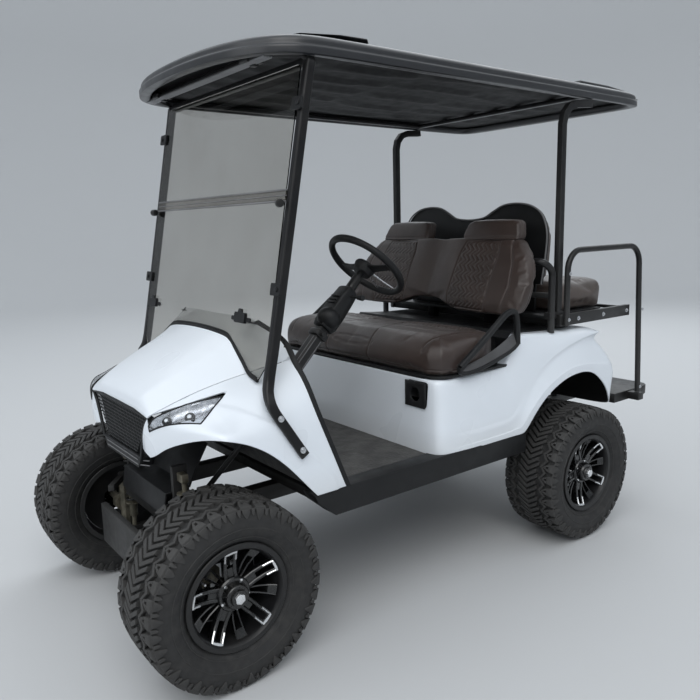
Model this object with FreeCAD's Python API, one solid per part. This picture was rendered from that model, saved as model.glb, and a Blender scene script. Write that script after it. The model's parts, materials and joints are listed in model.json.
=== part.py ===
import FreeCAD, Part
import math
import os

V = FreeCAD.Vector
os.makedirs("parts", exist_ok=True)

# A lifted four-seat electric golf cart. Millimetres, +X forward, +Y to the driver's side, +Z up.
# The origin is on the ground, midway along the cart, on its centre plane.

# Driving sizes of the whole cart
TYRE_R = 290.0
AXLE_Z = 290.0
TYRE_WIDTH = 250.0
WHEELBASE = 1664.0
REAR_OVERHANG = 740.0
FRONT_TRACK = 974.0
REAR_TRACK = 1114.0
LENGTH = TYRE_R + WHEELBASE + REAR_OVERHANG
X_FRONT = LENGTH / 2 - TYRE_R
X_REAR = X_FRONT - WHEELBASE
SEAT_GAP = 0.3
SHUT_LINE = 0.6
PANEL = 5.0


def fx(offset):
    """A place along X, measured forward from the front axle."""
    return X_FRONT + offset


def rx(offset):
    """A place along X, measured forward from the rear axle."""
    return X_REAR + offset


def box(x0, x1, y0, y1, z0, z1):
    return Part.makeBox(x1 - x0, y1 - y0, z1 - z0, V(x0, y0, z0))


def rounded_wire(rows, place):
    """A closed outline from rows of (a, b, corner radius); place turns (a, b) into a point."""
    count = len(rows)
    starts, ends, middles = [], [], []
    for i in range(count):
        before, here, after = rows[i - 1], rows[i], rows[(i + 1) % count]
        p = V(here[0], here[1], 0)
        to_before = (V(before[0], before[1], 0) - p)
        to_after = (V(after[0], after[1], 0) - p)
        radius = here[2] if len(here) > 2 else 0
        turn = to_before.getAngle(to_after)
        if radius <= 0 or turn > math.pi - 0.01:
            starts.append(p)
            ends.append(p)
            middles.append(None)
            continue
        room = 0.48 * min(to_before.Length, to_after.Length)
        back = min(radius / math.tan(turn / 2), room)
        radius = back * math.tan(turn / 2)
        to_before.normalize()
        to_after.normalize()
        bisector = (to_before + to_after).normalize()
        starts.append(p + to_before * back)
        ends.append(p + to_after * back)
        middles.append(p + bisector * (radius / math.sin(turn / 2) - radius))
    edges = []
    for i in range(count):
        if middles[i] is not None:
            edges.append(Part.Arc(place(starts[i]), place(middles[i]), place(ends[i])).toShape())
        following = starts[(i + 1) % count]
        if (following - ends[i]).Length > 1e-6:
            edges.append(Part.makeLine(place(ends[i]), place(following)))
    return Part.Wire(edges)


def prism_y(rows, y0, y1):
    """A side-view outline of (x, z, radius) carried from y0 to y1."""
    wire = rounded_wire(rows, lambda p: V(p.x, y0, p.y))
    return Part.Face(wire).extrude(V(0, y1 - y0, 0))


def prism_z(rows, z0, z1):
    """A plan outline of (x, y, radius) carried from z0 to z1."""
    wire = rounded_wire(rows, lambda p: V(p.x, p.y, z0))
    return Part.Face(wire).extrude(V(0, 0, z1 - z0))


def prism_x(rows, x0, x1):
    """A front-view outline of (y, z, radius) carried from x0 to x1."""
    wire = rounded_wire(rows, lambda p: V(x0, p.x, p.y))
    return Part.Face(wire).extrude(V(x1 - x0, 0, 0))


def rod(start, end, radius):
    start, end = V(*start), V(*end)
    run = end - start
    return Part.makeCylinder(radius, run.Length, start, run)


def bar(start, end, wide, tall, side=V(0, 1, 0)):
    """A straight rectangular bar; wide lies along side, tall across it."""
    start, end = V(*start), V(*end)
    along = (end - start).normalize()
    up = along.cross(side).normalize()
    across = up.cross(along).normalize()
    corners = [start + across * (a * wide / 2) + up * (b * tall / 2)
               for a, b in ((-1, -1), (1, -1), (1, 1), (-1, 1))]
    face = Part.Face(Part.makePolygon(corners + corners[:1]))
    return face.extrude(end - start)


def bent_path(points, bend):
    """Straight runs through the points, joined by tangent arcs of the bend radius."""
    points = [V(*p) for p in points]
    edges, last = [], points[0]
    for i in range(1, len(points) - 1):
        here = points[i]
        to_before = (points[i - 1] - here).normalize()
        to_after = (points[i + 1] - here).normalize()
        turn = to_before.getAngle(to_after)
        back = bend / math.tan(turn / 2)
        first, second = here + to_before * back, here + to_after * back
        middle = here + (to_before + to_after).normalize() * (bend / math.sin(turn / 2) - bend)
        edges += [Part.makeLine(last, first), Part.Arc(first, middle, second).toShape()]
        last = second
    edges.append(Part.makeLine(last, points[-1]))
    return Part.Wire(edges)


def tube(points, bend, radius):
    path = bent_path(points, bend)
    start = V(*points[0])
    ring = Part.Wire(Part.makeCircle(radius, start, V(*points[1]) - start))
    return path.makePipeShell([ring], True, True)


def square_tube(points, bend, wide, tall, side=V(0, 1, 0)):
    """A rectangular tube along a path that lies in a plane square to side."""
    path = bent_path(points, bend)
    start = V(*points[0])
    along = (V(*points[1]) - start).normalize()
    up = along.cross(side).normalize()
    corners = [start + side * (a * wide / 2) + up * (b * tall / 2)
               for a, b in ((-1, -1), (1, -1), (1, 1), (-1, 1))]
    sweep = Part.BRepOffsetAPI.MakePipeShell(path)
    sweep.setBiNormalMode(side)
    sweep.add(Part.makePolygon(corners + corners[:1]))
    sweep.build()
    sweep.makeSolid()
    return sweep.shape()


def mirrored(shape):
    """The like piece on the passenger's side."""
    return shape.mirror(V(0, 0, 0), V(0, 1, 0))


def pair(shape):
    return Part.makeCompound([shape, mirrored(shape)])


def fuse(shapes):
    whole = shapes[0].multiFuse(shapes[1:]) if len(shapes) > 1 else shapes[0]
    return whole.removeSplitter()


def ruled(sections):
    """A solid through closed polygons, with straight lines from each to the next."""
    wires = [Part.makePolygon([V(*p) for p in ring] + [V(*ring[0])]) for ring in sections]
    return Part.makeLoft(wires, True, True)


def flat_sided(sections):
    """A solid through closed polygons whose side panels are flat, or split along one diagonal."""
    rings = [[V(*p) for p in ring] for ring in sections]
    faces = [Part.Face(Part.makePolygon(ring + ring[:1])) for ring in (rings[0], rings[-1])]
    for one, two in zip(rings, rings[1:]):
        for i in range(len(one)):
            j = (i + 1) % len(one)
            a, b, c, d = one[i], one[j], two[j], two[i]
            twist = abs((b - a).cross(d - a).dot(c - a))
            if twist < 1e-3 * (b - a).cross(d - a).Length:
                faces.append(Part.Face(Part.makePolygon([a, b, c, d, a])))
            else:
                faces += [Part.Face(Part.makePolygon([a, b, c, a])),
                          Part.Face(Part.makePolygon([a, c, d, a]))]
    shell = Part.Shell(faces)
    solid = Part.Solid(shell)
    if solid.Volume < 0:
        solid.reverse()
    return solid


def post(start, end, radius, sides=8):
    """A straight bar whose section is a regular polygon."""
    start, end = V(*start), V(*end)
    return mitred([start, end], polygon_about(start, end - start, radius, sides))


def polygon_about(centre, along, radius, sides):
    along = V(along).normalize()
    across = along.cross(V(0, 0, 1) if abs(along.z) < 0.9 else V(0, 1, 0)).normalize()
    up = across.cross(along)
    step = 2 * math.pi / sides
    return [centre + across * (radius * math.cos(step * (i + 0.5))) + up * (radius * math.sin(step * (i + 0.5)))
            for i in range(sides)]


def mitred(points, first):
    """A tube of one section along a broken line; first is its outline at the first point."""
    points = [V(*p) for p in points]
    rings = [[V(*p) for p in first]]
    for i in range(1, len(points)):
        along = (points[i] - points[i - 1]).normalize()
        normal = V(along)
        if i + 1 < len(points):
            normal = (along + (points[i + 1] - points[i]).normalize()).normalize()
        rings.append([c + along * ((points[i] - c).dot(normal) / along.dot(normal)) for c in rings[-1]])
    return flat_sided(rings)


def chorded(points, bend, steps):
    """The points of a bent line, each bend drawn with a few short runs."""
    points = [V(*p) for p in points]
    line = [points[0]]
    for before, here, after in zip(points, points[1:], points[2:]):
        to_before, to_after = (before - here).normalize(), (after - here).normalize()
        turn = to_before.getAngle(to_after)
        back = bend / math.tan(turn / 2)
        first, second = here + to_before * back, here + to_after * back
        centre = here + (to_before + to_after).normalize() * (bend / math.sin(turn / 2))
        swing = math.pi - turn
        for k in range(steps + 1):
            t = k / steps
            line.append(centre + (first - centre) * (math.sin((1 - t) * swing) / math.sin(swing))
                        + (second - centre) * (math.sin(t * swing) / math.sin(swing)))
    return line + [points[-1]]


def pipe(points, bend, radius, sides=8, steps=3):
    """A bent round tube drawn with flat sides."""
    line = chorded(points, bend, steps)
    return mitred(line, polygon_about(line[0], line[1] - line[0], radius, sides))


def flat_pipe(points, bend, wide, tall, side=V(0, 1, 0), steps=3):
    """A bent rectangular tube; wide lies along side."""
    line = chorded(points, bend, steps)
    along = (line[1] - line[0]).normalize()
    up = along.cross(side).normalize()
    across = up.cross(along).normalize()
    return mitred(line, [line[0] + across * (a * wide / 2) + up * (b * tall / 2)
                         for a, b in ((-1, -1), (1, -1), (1, 1), (-1, 1))])


def soft(rows, steps=3):
    """The corners of an outline of (a, b, corner radius), each round corner cut into short runs."""
    points = []
    for i, row in enumerate(rows):
        a, b, c = rows[i - 1], row, rows[(i + 1) % len(rows)]
        radius = row[2] if len(row) > 2 else 0
        here = V(b[0], b[1], 0)
        to_before, to_after = V(a[0], a[1], 0) - here, V(c[0], c[1], 0) - here
        turn = to_before.getAngle(to_after)
        if radius <= 0 or turn > math.pi - 0.01:
            points.append((b[0], b[1]))
            continue
        back = min(radius / math.tan(turn / 2), 0.49 * min(to_before.Length, to_after.Length))
        radius = back * math.tan(turn / 2)
        to_before.normalize()
        to_after.normalize()
        centre = here + (to_before + to_after).normalize() * (radius / math.sin(turn / 2))
        one, two = here + to_before * back - centre, here + to_after * back - centre
        swing = math.pi - turn
        for k in range(steps + 1):
            t = k / steps
            p = centre + one * (math.sin((1 - t) * swing) / math.sin(swing)) + two * (math.sin(t * swing) / math.sin(swing))
            points.append((p.x, p.y))
    return points


def inset(points, depth):
    """An outline drawn again a set depth inside itself; points run anticlockwise."""
    moved = []
    for i, here in enumerate(points):
        before, after = points[i - 1], points[(i + 1) % len(points)]
        one = V(here[0] - before[0], here[1] - before[1], 0).normalize()
        two = V(after[0] - here[0], after[1] - here[1], 0).normalize()
        n1, n2 = V(-one.y, one.x, 0), V(-two.y, two.x, 0)
        shift = (n1 + n2) * (depth / (1 + n1.dot(n2)))
        moved.append((here[0] + shift.x, here[1] + shift.y))
    return moved


def stack(rows, levels, steps=3):
    """Plan outlines one above another; levels are rows of (height, inset)."""
    points = soft(rows, steps)
    area = sum(a[0] * b[1] - b[0] * a[1] for a, b in zip(points, points[1:] + points[:1]))
    if area < 0:
        points.reverse()
    return flat_sided([[(x, y, z) for x, y in inset(points, depth)] for z, depth in levels])


def dome(rows, levels, steps=3):
    """Like stack, but each outline is the first one drawn smaller about its middle."""
    points = soft(rows, steps)
    xs, ys = [x for x, y in points], [y for x, y in points]
    cx, cy = (min(xs) + max(xs)) / 2, (min(ys) + max(ys)) / 2
    hx, hy = (max(xs) - min(xs)) / 2, (max(ys) - min(ys)) / 2
    return flat_sided([[(cx + (x - cx) * (1 - depth / hx), cy + (y - cy) * (1 - depth / hy), z) for x, y in points]
                       for z, depth in levels])


def export(name, shape):
    """One node, drawn over an axle height of AXLE_Z and lifted to stand on its tyres."""
    stood = shape.copy()
    stood.translate(V(0, 0, TYRE_R - AXLE_Z))
    solids = stood.Solids
    kept = solids[0] if len(solids) == 1 else Part.makeCompound(solids)
    if not kept.isValid():
        print("not valid:", name)
    kept.exportStep("parts/" + name + ".step")
    print(name, len(solids), round(kept.Volume / 1e6, 3))


# Wheels
RING_SIDES = 22
RIM_SIDES = 11
LUG_DEPTH = 14.0
SHOULDER_DROP = 6.0
SHOULDER_Y = 117.0
TREAD_ROW = 58.5
LUG_DRAFT = 2.0
BEAD_R = 152.0
BEAD_Y = 88.0
BULGE_R = 226.0
FLANGE_R = 168.0
FLANGE_THICK = 10.0
RIM_HALF = 96.0
RIM_WALL = 9.0
SPOKE_PAIRS = 5
DISC_Y = 58.0
DISC_THICK = 16.0
HUB_SIDES = 10
BORE_SIDES = 12
HUB_R = 54.0
HUB_BACK = 40.0
CAP_R = 36.0
CAP_RISE = 34.0
SPINDLE_R = 15.0
RUNNING = 0.4


def ring(y, radius, count):
    """A regular polygon about the Y axis, with a flat side at the bottom."""
    step = 2 * math.pi / count
    return [(radius * math.sin(step * (i + 0.5)), y, -radius * math.cos(step * (i + 0.5)))
            for i in range(count)]


def lug(angle, base, rows):
    """A block on the tread at one angle; rows of (y, half width, shift along the ring, tip radius)."""
    out = V(math.cos(angle), 0, math.sin(angle))
    along = V(-math.sin(angle), 0, math.cos(angle))
    sections = []
    for y, half, shift, tip in rows:
        corners = ((base, shift - half), (tip, shift - half + LUG_DRAFT),
                   (tip, shift + half - LUG_DRAFT), (base, shift + half))
        sections.append([tuple(out * r + along * w + V(0, y, 0)) for r, w in corners])
    return flat_sided(sections)


def bore_r(radius):
    """The corner radius of a flat-sided bore that a pin of this radius turns in."""
    return (radius + RUNNING) / math.cos(math.pi / BORE_SIDES)


def make_tyre():
    """A tyre about the Y axis at the origin: four rows of lugs between two sidewalls."""
    root = TYRE_R - LUG_DEPTH
    face = root * math.cos(math.pi / RING_SIDES)
    carcass = flat_sided([ring(y, r, RING_SIDES) for y, r in
                     ((-BEAD_Y, FLANGE_R - 10), (-TYRE_WIDTH / 2, BULGE_R), (-SHOULDER_Y, root),
                      (SHOULDER_Y, root), (TYRE_WIDTH / 2, BULGE_R), (BEAD_Y, FLANGE_R - 10))])
    blocks = []
    base = face - 2
    for k in range(RING_SIDES):
        sign = 1 if k % 2 else -1
        angle = 2 * math.pi * k / RING_SIDES - math.pi / 2
        blocks.append(lug(angle, base, [(sign * (TREAD_ROW + 4), 19, 0, TYRE_R - 1),
                                        (sign * (SHOULDER_Y - 0.5), 24, 0, TYRE_R - SHOULDER_DROP)]))
        blocks.append(lug(angle, base, [(-sign * 3, 20, 5 * sign, TYRE_R),
                                        (-sign * (TREAD_ROW - 3), 20, -5 * sign, TYRE_R)]))
    bore = flat_sided([ring(-TYRE_WIDTH, BEAD_R, RING_SIDES), ring(TYRE_WIDTH, BEAD_R, RING_SIDES)])
    return fuse([carcass] + blocks).cut(bore)


def make_rim(side):
    """A dished wheel with paired spokes; side is +1 where its outer face points to +Y."""
    seat = BEAD_R - SEAT_GAP
    lip = RIM_HALF + FLANGE_THICK
    barrel = flat_sided([ring(-lip, seat, RING_SIDES), ring(lip, seat, RING_SIDES)])
    flange = flat_sided([ring(RIM_HALF, FLANGE_R, RING_SIDES), ring(lip, FLANGE_R, RING_SIDES)])
    well = flat_sided([ring(-lip - 1, seat - RIM_WALL, RIM_SIDES), ring(lip + 1, seat - RIM_WALL, RIM_SIDES)])
    barrel = barrel.fuse(flange).cut(well)
    disc_r = seat - RIM_WALL + 1
    disc = flat_sided([ring(DISC_Y, disc_r, RIM_SIDES), ring(DISC_Y + DISC_THICK, disc_r, RIM_SIDES)])
    step = 360.0 / SPOKE_PAIRS
    # columns: turn in steps, half angle inside, half angle outside, inner radius, outer radius
    for turn, inner_half, outer_half, r0, r1 in ((0.0, 14.0, 17.0, 66.0, 134.0),
                                                 (0.5, 5.0, 6.5, 92.0, 134.0)):
        for i in range(SPOKE_PAIRS):
            a = math.radians(90 + step * (i + turn))
            b, c = math.radians(inner_half), math.radians(outer_half)
            corners = [V(r * math.cos(t), DISC_Y - 5, r * math.sin(t)) for r, t in
                       ((r0, a - b), (r0, a + b), (r1, a + c), (r1, a - c))]
            window = Part.Face(Part.makePolygon(corners + corners[:1]))
            disc = disc.cut(window.extrude(V(0, DISC_THICK + 10, 0)))
    face = DISC_Y + DISC_THICK
    hub = flat_sided([ring(-HUB_BACK, HUB_R, HUB_SIDES), ring(face + 6, HUB_R, HUB_SIDES)])
    cap = flat_sided([ring(face, CAP_R, HUB_SIDES), ring(face + CAP_RISE, CAP_R - 6, HUB_SIDES)])
    axle_bore = post((0, -HUB_BACK - 1, 0), (0, face, 0), bore_r(SPINDLE_R), BORE_SIDES)
    rim = fuse([barrel, disc, hub, cap]).cut(axle_bore)
    return rim if side > 0 else rim.mirror(V(0, 0, 0), V(0, 1, 0))


def place(shape, x, y, z):
    moved = shape.copy()
    moved.translate(V(x, y, z))
    return moved


tyre, rim_left, rim_right = make_tyre(), make_rim(1), make_rim(-1)
# columns: name, place along X, place across Y
WHEELS = [("front_left", X_FRONT, FRONT_TRACK / 2), ("front_right", X_FRONT, -FRONT_TRACK / 2),
          ("rear_left", X_REAR, REAR_TRACK / 2), ("rear_right", X_REAR, -REAR_TRACK / 2)]
for name, x, y in WHEELS:
    export("tyre_" + name, place(tyre, x, y, AXLE_Z))
    export("rim_" + name, place(rim_left if y > 0 else rim_right, x, y, AXLE_Z))


# Chassis. Heights are above the ground.
RAIL_Y = 185.0
RAIL_WIDE = 50.0
RAIL_Z0 = 385.0
RAIL_Z1 = 442.0
RAIL_FRONT = 40.0
RAIL_REAR = 420.0
CROSS_TALL = 33.0
FRAME_BAR = 40.0
FLOOR_Z = 520.0
FLOOR_THICK = 6.0
SILL_OUT = 577.0
SILL_WIDE = 70.0
SILL_Z0 = RAIL_Z1 - PANEL
SILL_Z1 = FLOOR_Z + FLOOR_THICK
SILL_FRONT = 292.0
SILL_REAR = 322.0
UNDERSEAT_X = 823.0
TOW_HOLE_R = 10.0
TOWER_OUT = 217.0
TOWER_THICK = 20.0
TOWER_HALF = 25.0
TOWER_TOP = 600.0

front_end, rear_end = fx(RAIL_FRONT), rx(-RAIL_REAR)
cross_top = RAIL_Z1 + CROSS_TALL
sill_in = SILL_OUT - SILL_WIDE
rail = box(rear_end, front_end, RAIL_Y - RAIL_WIDE / 2, RAIL_Y + RAIL_WIDE / 2, RAIL_Z0, RAIL_Z1)
frame_parts = [rail, mirrored(rail)]
rail_in = RAIL_Y - RAIL_WIDE / 2
for x in (front_end - FRAME_BAR / 2, rear_end + FRAME_BAR / 2, rx(-150)):
    frame_parts.append(box(x - FRAME_BAR / 2, x + FRAME_BAR / 2, -rail_in, rail_in, RAIL_Z0, RAIL_Z1))
# cross members that carry the floor, the battery and the sills
for x in (fx(-400), rx(UNDERSEAT_X) - 60, rx(400)):
    half = SILL_OUT - PANEL
    frame_parts.append(box(x - FRAME_BAR / 2, x + FRAME_BAR / 2, -half, half, RAIL_Z1, cross_top))
for sign in (1, -1):
    y0, y1 = sorted((sign * (TOWER_OUT - TOWER_THICK), sign * TOWER_OUT))
    frame_parts.append(box(fx(-TOWER_HALF), fx(TOWER_HALF), y0, y1, RAIL_Z1 - 30, TOWER_TOP))
# floor stringers
for y in (-RAIL_Y, RAIL_Y):
    frame_parts.append(box(rx(UNDERSEAT_X) - 60, fx(-400), y - 15, y + 15, RAIL_Z1, FLOOR_Z))
frame = fuse(frame_parts)
tow_x = rear_end + FRAME_BAR / 2
frame = frame.cut(rod((tow_x, 0, RAIL_Z0 - 1), (tow_x, 0, RAIL_Z1 + 1), TOW_HOLE_R))
export("frame", frame)

# Steering column line, from the wheel's hub down and forward
COLUMN_Y = 254.0
COLUMN_R = 20.0
HUB_X = -779.0
HUB_Z = 1218.0
COLUMN_TILT = 46.0
tilt = math.radians(COLUMN_TILT)
hub = V(fx(HUB_X), COLUMN_Y, HUB_Z)
down = V(math.cos(tilt), 0, -math.sin(tilt))


def on_column(run):
    return hub + down * run


# Floor and toe board, one folded sheet
TOE_FOOT_X = -335.0
TOE_TOP_X = -190.0
TOE_TOP_Z = 775.0
floor_half = sill_in - SEAT_GAP
floor_rear = rx(UNDERSEAT_X) + SEAT_GAP
toe_slope = (TOE_TOP_Z - FLOOR_Z) / (TOE_TOP_X - TOE_FOOT_X)
toe_back = FLOOR_THICK * math.hypot(1, toe_slope) / toe_slope
floor = prism_y([(floor_rear, FLOOR_Z), (fx(TOE_FOOT_X), FLOOR_Z), (fx(TOE_TOP_X), TOE_TOP_Z),
                 (fx(TOE_TOP_X) - toe_back, TOE_TOP_Z),
                 (fx(TOE_FOOT_X) - toe_back + FLOOR_THICK / toe_slope, FLOOR_Z + FLOOR_THICK),
                 (floor_rear, FLOOR_Z + FLOOR_THICK)], -floor_half, floor_half)
column_hole = rod(tuple(on_column(600)), tuple(on_column(900)), COLUMN_R + 4)
export("floor_pan", floor.cut(column_hole))

# Sills, channels open towards the frame
sill_rows = [(rx(SILL_REAR), SILL_Z0), (fx(-SILL_FRONT) - 82, SILL_Z0), (fx(-SILL_FRONT) - 12, SILL_Z0 + 61, 20),
             (fx(-SILL_FRONT), SILL_Z1), (rx(SILL_REAR), SILL_Z1)]
sill = prism_y(sill_rows, sill_in, SILL_OUT)
sill_hollow = prism_y([(rx(SILL_REAR) + PANEL, SILL_Z0 + PANEL), (fx(-SILL_FRONT) - 86, SILL_Z0 + PANEL),
                       (fx(-SILL_FRONT) - 24, SILL_Z1 - PANEL), (rx(SILL_REAR) + PANEL, SILL_Z1 - PANEL)],
                      sill_in - 1, SILL_OUT - PANEL)
export("sill_rockers", pair(sill.cut(sill_hollow)))

# Front suspension: a cradle under the rails, double A-arms and sprung struts
KINGPIN_IN = 137.0
KINGPIN_Y = FRONT_TRACK / 2 - KINGPIN_IN
KINGPIN_R = 20.0
ARM_R = 11.0
CRADLE_HALF = 145.0
CRADLE_Y = 120.0
CRADLE_Z = 240.0
CRADLE_TALL = 30.0
LOWER_BALL_Z = 205.0
UPPER_BALL_Z = 392.0
STRUT_IN = 88.0
SPRING_R = 27.0
cradle = box(fx(-CRADLE_HALF), fx(CRADLE_HALF), -CRADLE_Y, CRADLE_Y, CRADLE_Z, CRADLE_Z + CRADLE_TALL)
hangers = [box(fx(x), fx(x + 20), -rail_in - 20, rail_in + 20, CRADLE_Z, RAIL_Z0) for x in (-CRADLE_HALF, CRADLE_HALF - 20)]
suspension = [cradle] + hangers
for sign in (1, -1):
    ball_y = sign * KINGPIN_Y
    for x in (-CRADLE_HALF + 10, CRADLE_HALF - 10):
        suspension.append(bar((fx(x), sign * (CRADLE_Y - 15), CRADLE_Z + 15), (fx(0), ball_y, LOWER_BALL_Z - 17), 2 * ARM_R, 2 * ARM_R, V(1, 0, 0)))
    suspension.append(box(fx(-70), fx(70), *sorted((sign * (KINGPIN_Y - STRUT_IN - 12), sign * (KINGPIN_Y - STRUT_IN + 13))), CRADLE_Z - 40, CRADLE_Z - 10))
    suspension.append(post((fx(0), ball_y, LOWER_BALL_Z - 30), (fx(0), ball_y, LOWER_BALL_Z - 6), 20))
    suspension.append(rod((fx(0), ball_y, LOWER_BALL_Z - 6), (fx(0), ball_y, LOWER_BALL_Z - SEAT_GAP), 20))
    for x in (-95, 95):
        suspension.append(bar((fx(x), sign * (RAIL_Y + RAIL_WIDE / 2), RAIL_Z1 - 22), (fx(0), ball_y, UPPER_BALL_Z + 17), 2 * ARM_R, 2 * ARM_R, V(1, 0, 0)))
    suspension.append(post((fx(0), ball_y, UPPER_BALL_Z + SEAT_GAP), (fx(0), ball_y, UPPER_BALL_Z + 30), 20))
suspension = fuse(suspension).cut(fuse([rail, mirrored(rail)]))
struts = []
for sign in (1, -1):
    foot, head = V(fx(0), sign * (KINGPIN_Y - STRUT_IN), CRADLE_Z - 9.2), V(fx(0), sign * (TOWER_OUT + 30), TOWER_TOP - 35)
    run = head - foot
    damper = post(foot, head, 9, 6)
    spring = post(foot + run * 0.3, foot + run * 0.85, SPRING_R, 10)
    eye = box(fx(-12), fx(12), *sorted((sign * TOWER_OUT, sign * (TOWER_OUT + 42))), TOWER_TOP - 50, TOWER_TOP - 20)
    struts.append(fuse([damper, spring, eye]))
export("front_suspension", suspension)
export("spring_struts", Part.makeCompound(struts))

# Knuckles: kingpin, spindle and steering arm
STEER_ARM = 105.0
RACK_Z = 300.0
RACK_R = 10.0
EYE_R = 16.0
ARM_GAP = 4.0
spindle_end = FRONT_TRACK / 2 + DISC_Y
knuckle = fuse([post((fx(0), KINGPIN_Y, LOWER_BALL_Z), (fx(0), KINGPIN_Y, UPPER_BALL_Z), KINGPIN_R, 8),
                post((fx(0), KINGPIN_Y, AXLE_Z), (fx(0), spindle_end - 12, AXLE_Z), SPINDLE_R, 12),
                rod((fx(0), spindle_end - 12, AXLE_Z), (fx(0), spindle_end, AXLE_Z), SPINDLE_R),
                post((fx(0), KINGPIN_Y + 15, AXLE_Z), (fx(0), KINGPIN_Y + 55, AXLE_Z), 34.0, 8),
                box(fx(-STEER_ARM - 14), fx(0), KINGPIN_Y - 20, KINGPIN_Y, RACK_Z + EYE_R - 4 + ARM_GAP, RACK_Z + EYE_R + 10 + ARM_GAP)])
export("knuckle_left", knuckle)
export("knuckle_right", mirrored(knuckle))

# Steering rack, its gear box and tie-rod eyes
GEAR_Y = 70.0
rack_x = fx(-STEER_ARM)
eye_y = KINGPIN_Y - 10
rack = fuse([post((rack_x, -eye_y, RACK_Z), (rack_x, eye_y, RACK_Z), RACK_R, 8)] +
            [post((rack_x, sign * eye_y, RACK_Z - 12), (rack_x, sign * eye_y, RACK_Z + 12), EYE_R, 8) for sign in (1, -1)])
export("steering_rack", rack)
gear = box(rack_x - 19, rack_x + 19, -GEAR_Y, GEAR_Y, CRADLE_Z + CRADLE_TALL + SEAT_GAP, RACK_Z + 32)
gear = gear.cut(post((rack_x, -GEAR_Y - 1, RACK_Z), (rack_x, GEAR_Y + 1, RACK_Z), RACK_R + RUNNING, 8))
export("steering_gear", gear)

# Rear axle, motor, springs
AXLE_R = 36.0
SPRING_WIDE = 50.0
LEAF_THICK = 24.0
hub_back = REAR_TRACK / 2 - HUB_BACK
axle_end = hub_back - 8
axle_parts = [post((rx(0), -axle_end, AXLE_Z), (rx(0), axle_end, AXLE_Z), AXLE_R, 8)]
for sign in (1, -1):
    axle_parts.append(post((rx(0), sign * (axle_end - 30), AXLE_Z), (rx(0), sign * axle_end, AXLE_Z), 95.0, 12))
    axle_parts.append(rod((rx(0), sign * axle_end, AXLE_Z), (rx(0), sign * (REAR_TRACK / 2 + DISC_Y), AXLE_Z), SPINDLE_R))
    axle_parts.append(box(rx(-30), rx(30), *sorted((sign * (RAIL_Y - 25), sign * (RAIL_Y + 25))), AXLE_Z, AXLE_Z + AXLE_R - SEAT_GAP))
axle_parts.append(post((rx(0), 0, AXLE_Z), (rx(0), 110, AXLE_Z), 105.0, 12))
export("rear_axle", fuse(axle_parts))
motor = post((rx(0) + 128, -150, AXLE_Z + 5), (rx(0) + 128, 109, AXLE_Z + 5), 80.0, 12)
export("drive_motor", motor.cut(fuse(axle_parts)))
leaf_top = RAIL_Z0
leaf_rows = [(rx(-360), leaf_top), (rx(-300), leaf_top - 8, 200), (rx(-40), AXLE_Z + AXLE_R + LEAF_THICK, 60),
             (rx(40), AXLE_Z + AXLE_R + LEAF_THICK, 60), (rx(300), leaf_top - 8, 200), (rx(360), leaf_top),
             (rx(360), leaf_top - LEAF_THICK), (rx(300), leaf_top - 8 - LEAF_THICK, 200),
             (rx(40), AXLE_Z + AXLE_R, 60), (rx(-40), AXLE_Z + AXLE_R, 60),
             (rx(-300), leaf_top - 8 - LEAF_THICK, 200), (rx(-360), leaf_top - LEAF_THICK)]
leaf = prism_y([row[:2] for row in leaf_rows], RAIL_Y - SPRING_WIDE / 2, RAIL_Y + SPRING_WIDE / 2)
export("leaf_springs", pair(leaf))
BATTERY_HALF = 330.0
BATTERY_TALL = 250.0
export("battery_pack", box(rx(370), rx(760), -BATTERY_HALF, BATTERY_HALF, cross_top, cross_top + BATTERY_TALL))

# Front cowl: hood, fenders and nose. Half sections square to the cart, each a row of
# offset from the front axle, centre height, then (y, z) of ridge, shoulder, seam, brow, side and low edge
COWL = [
    (-430, 1062, (250, 1058), (425, 1005), (437, 948), (500, 886), (552, 796), (578, 520)),
    (-319, 1062, (250, 1058), (425, 1005), (437, 948), (500, 886), (550, 796), (577, 520)),
    (-264, 1068, (280, 1062), (380, 1010), (408, 930), (490, 885), (548, 800), (575, 520)),
    (-189, 1012, (235, 998), (310, 955), (370, 910), (470, 880), (545, 812), (572, 520)),
    (-124, 978, (238, 960), (300, 925), (350, 893), (455, 868), (545, 795), (568, 520)),
    (-56, 945, (226, 929), (285, 900), (330, 873), (440, 850), (545, 785), (565, 520)),
    (11, 910, (214, 897), (265, 875), (310, 849), (425, 828), (540, 785), (562, 520)),
    (76, 872, (198, 861), (245, 845), (291, 820), (410, 805), (535, 780), (558, 520)),
    (101, 848, (180, 842), (230, 828), (283, 806), (400, 800), (530, 776), (555, 520)),
    (113, 814, (150, 812), (210, 806), (277, 797), (395, 795), (525, 772), (550, 520)),
    (139, 806, (150, 804), (210, 798), (277, 789), (392, 786), (520, 764), (545, 520)),
]
COWL_LOW = 520.0
FENDER_FOOT = SILL_Z1 + SEAT_GAP
# plan outline of the nose, (offset from the front axle, y)
NOSE = [(-430, 600), (-264, 580), (-30, 566), (14, 550), (48, 492), (72, 432), (96, 350), (113, 290), (114, 262)]
# side view of the cowl's rear edge, (offset from the front axle, z)
COWL_REAR = [(-262, 1100), (-262, 1072), (-279, 1066), (-299, 1029), (-319, 1005), (-323, 948), (-318, 886),
             (-321, 796), (-366, 675), (-424, 529), (-424, 500)]
# side view of the wheel arch
ARCH = [(142, 400), (142, 640), (118, 664), (96, 712), (62, 750), (30, 768), (-14, 768), (-80, 749), (-147, 716),
        (-215, 646), (-268, 580), (-300, 525), (-300, 400)]
ARCH_IN = 243.0
NOSE_WALL = 106.0
TIP_Y = 335.0
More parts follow.
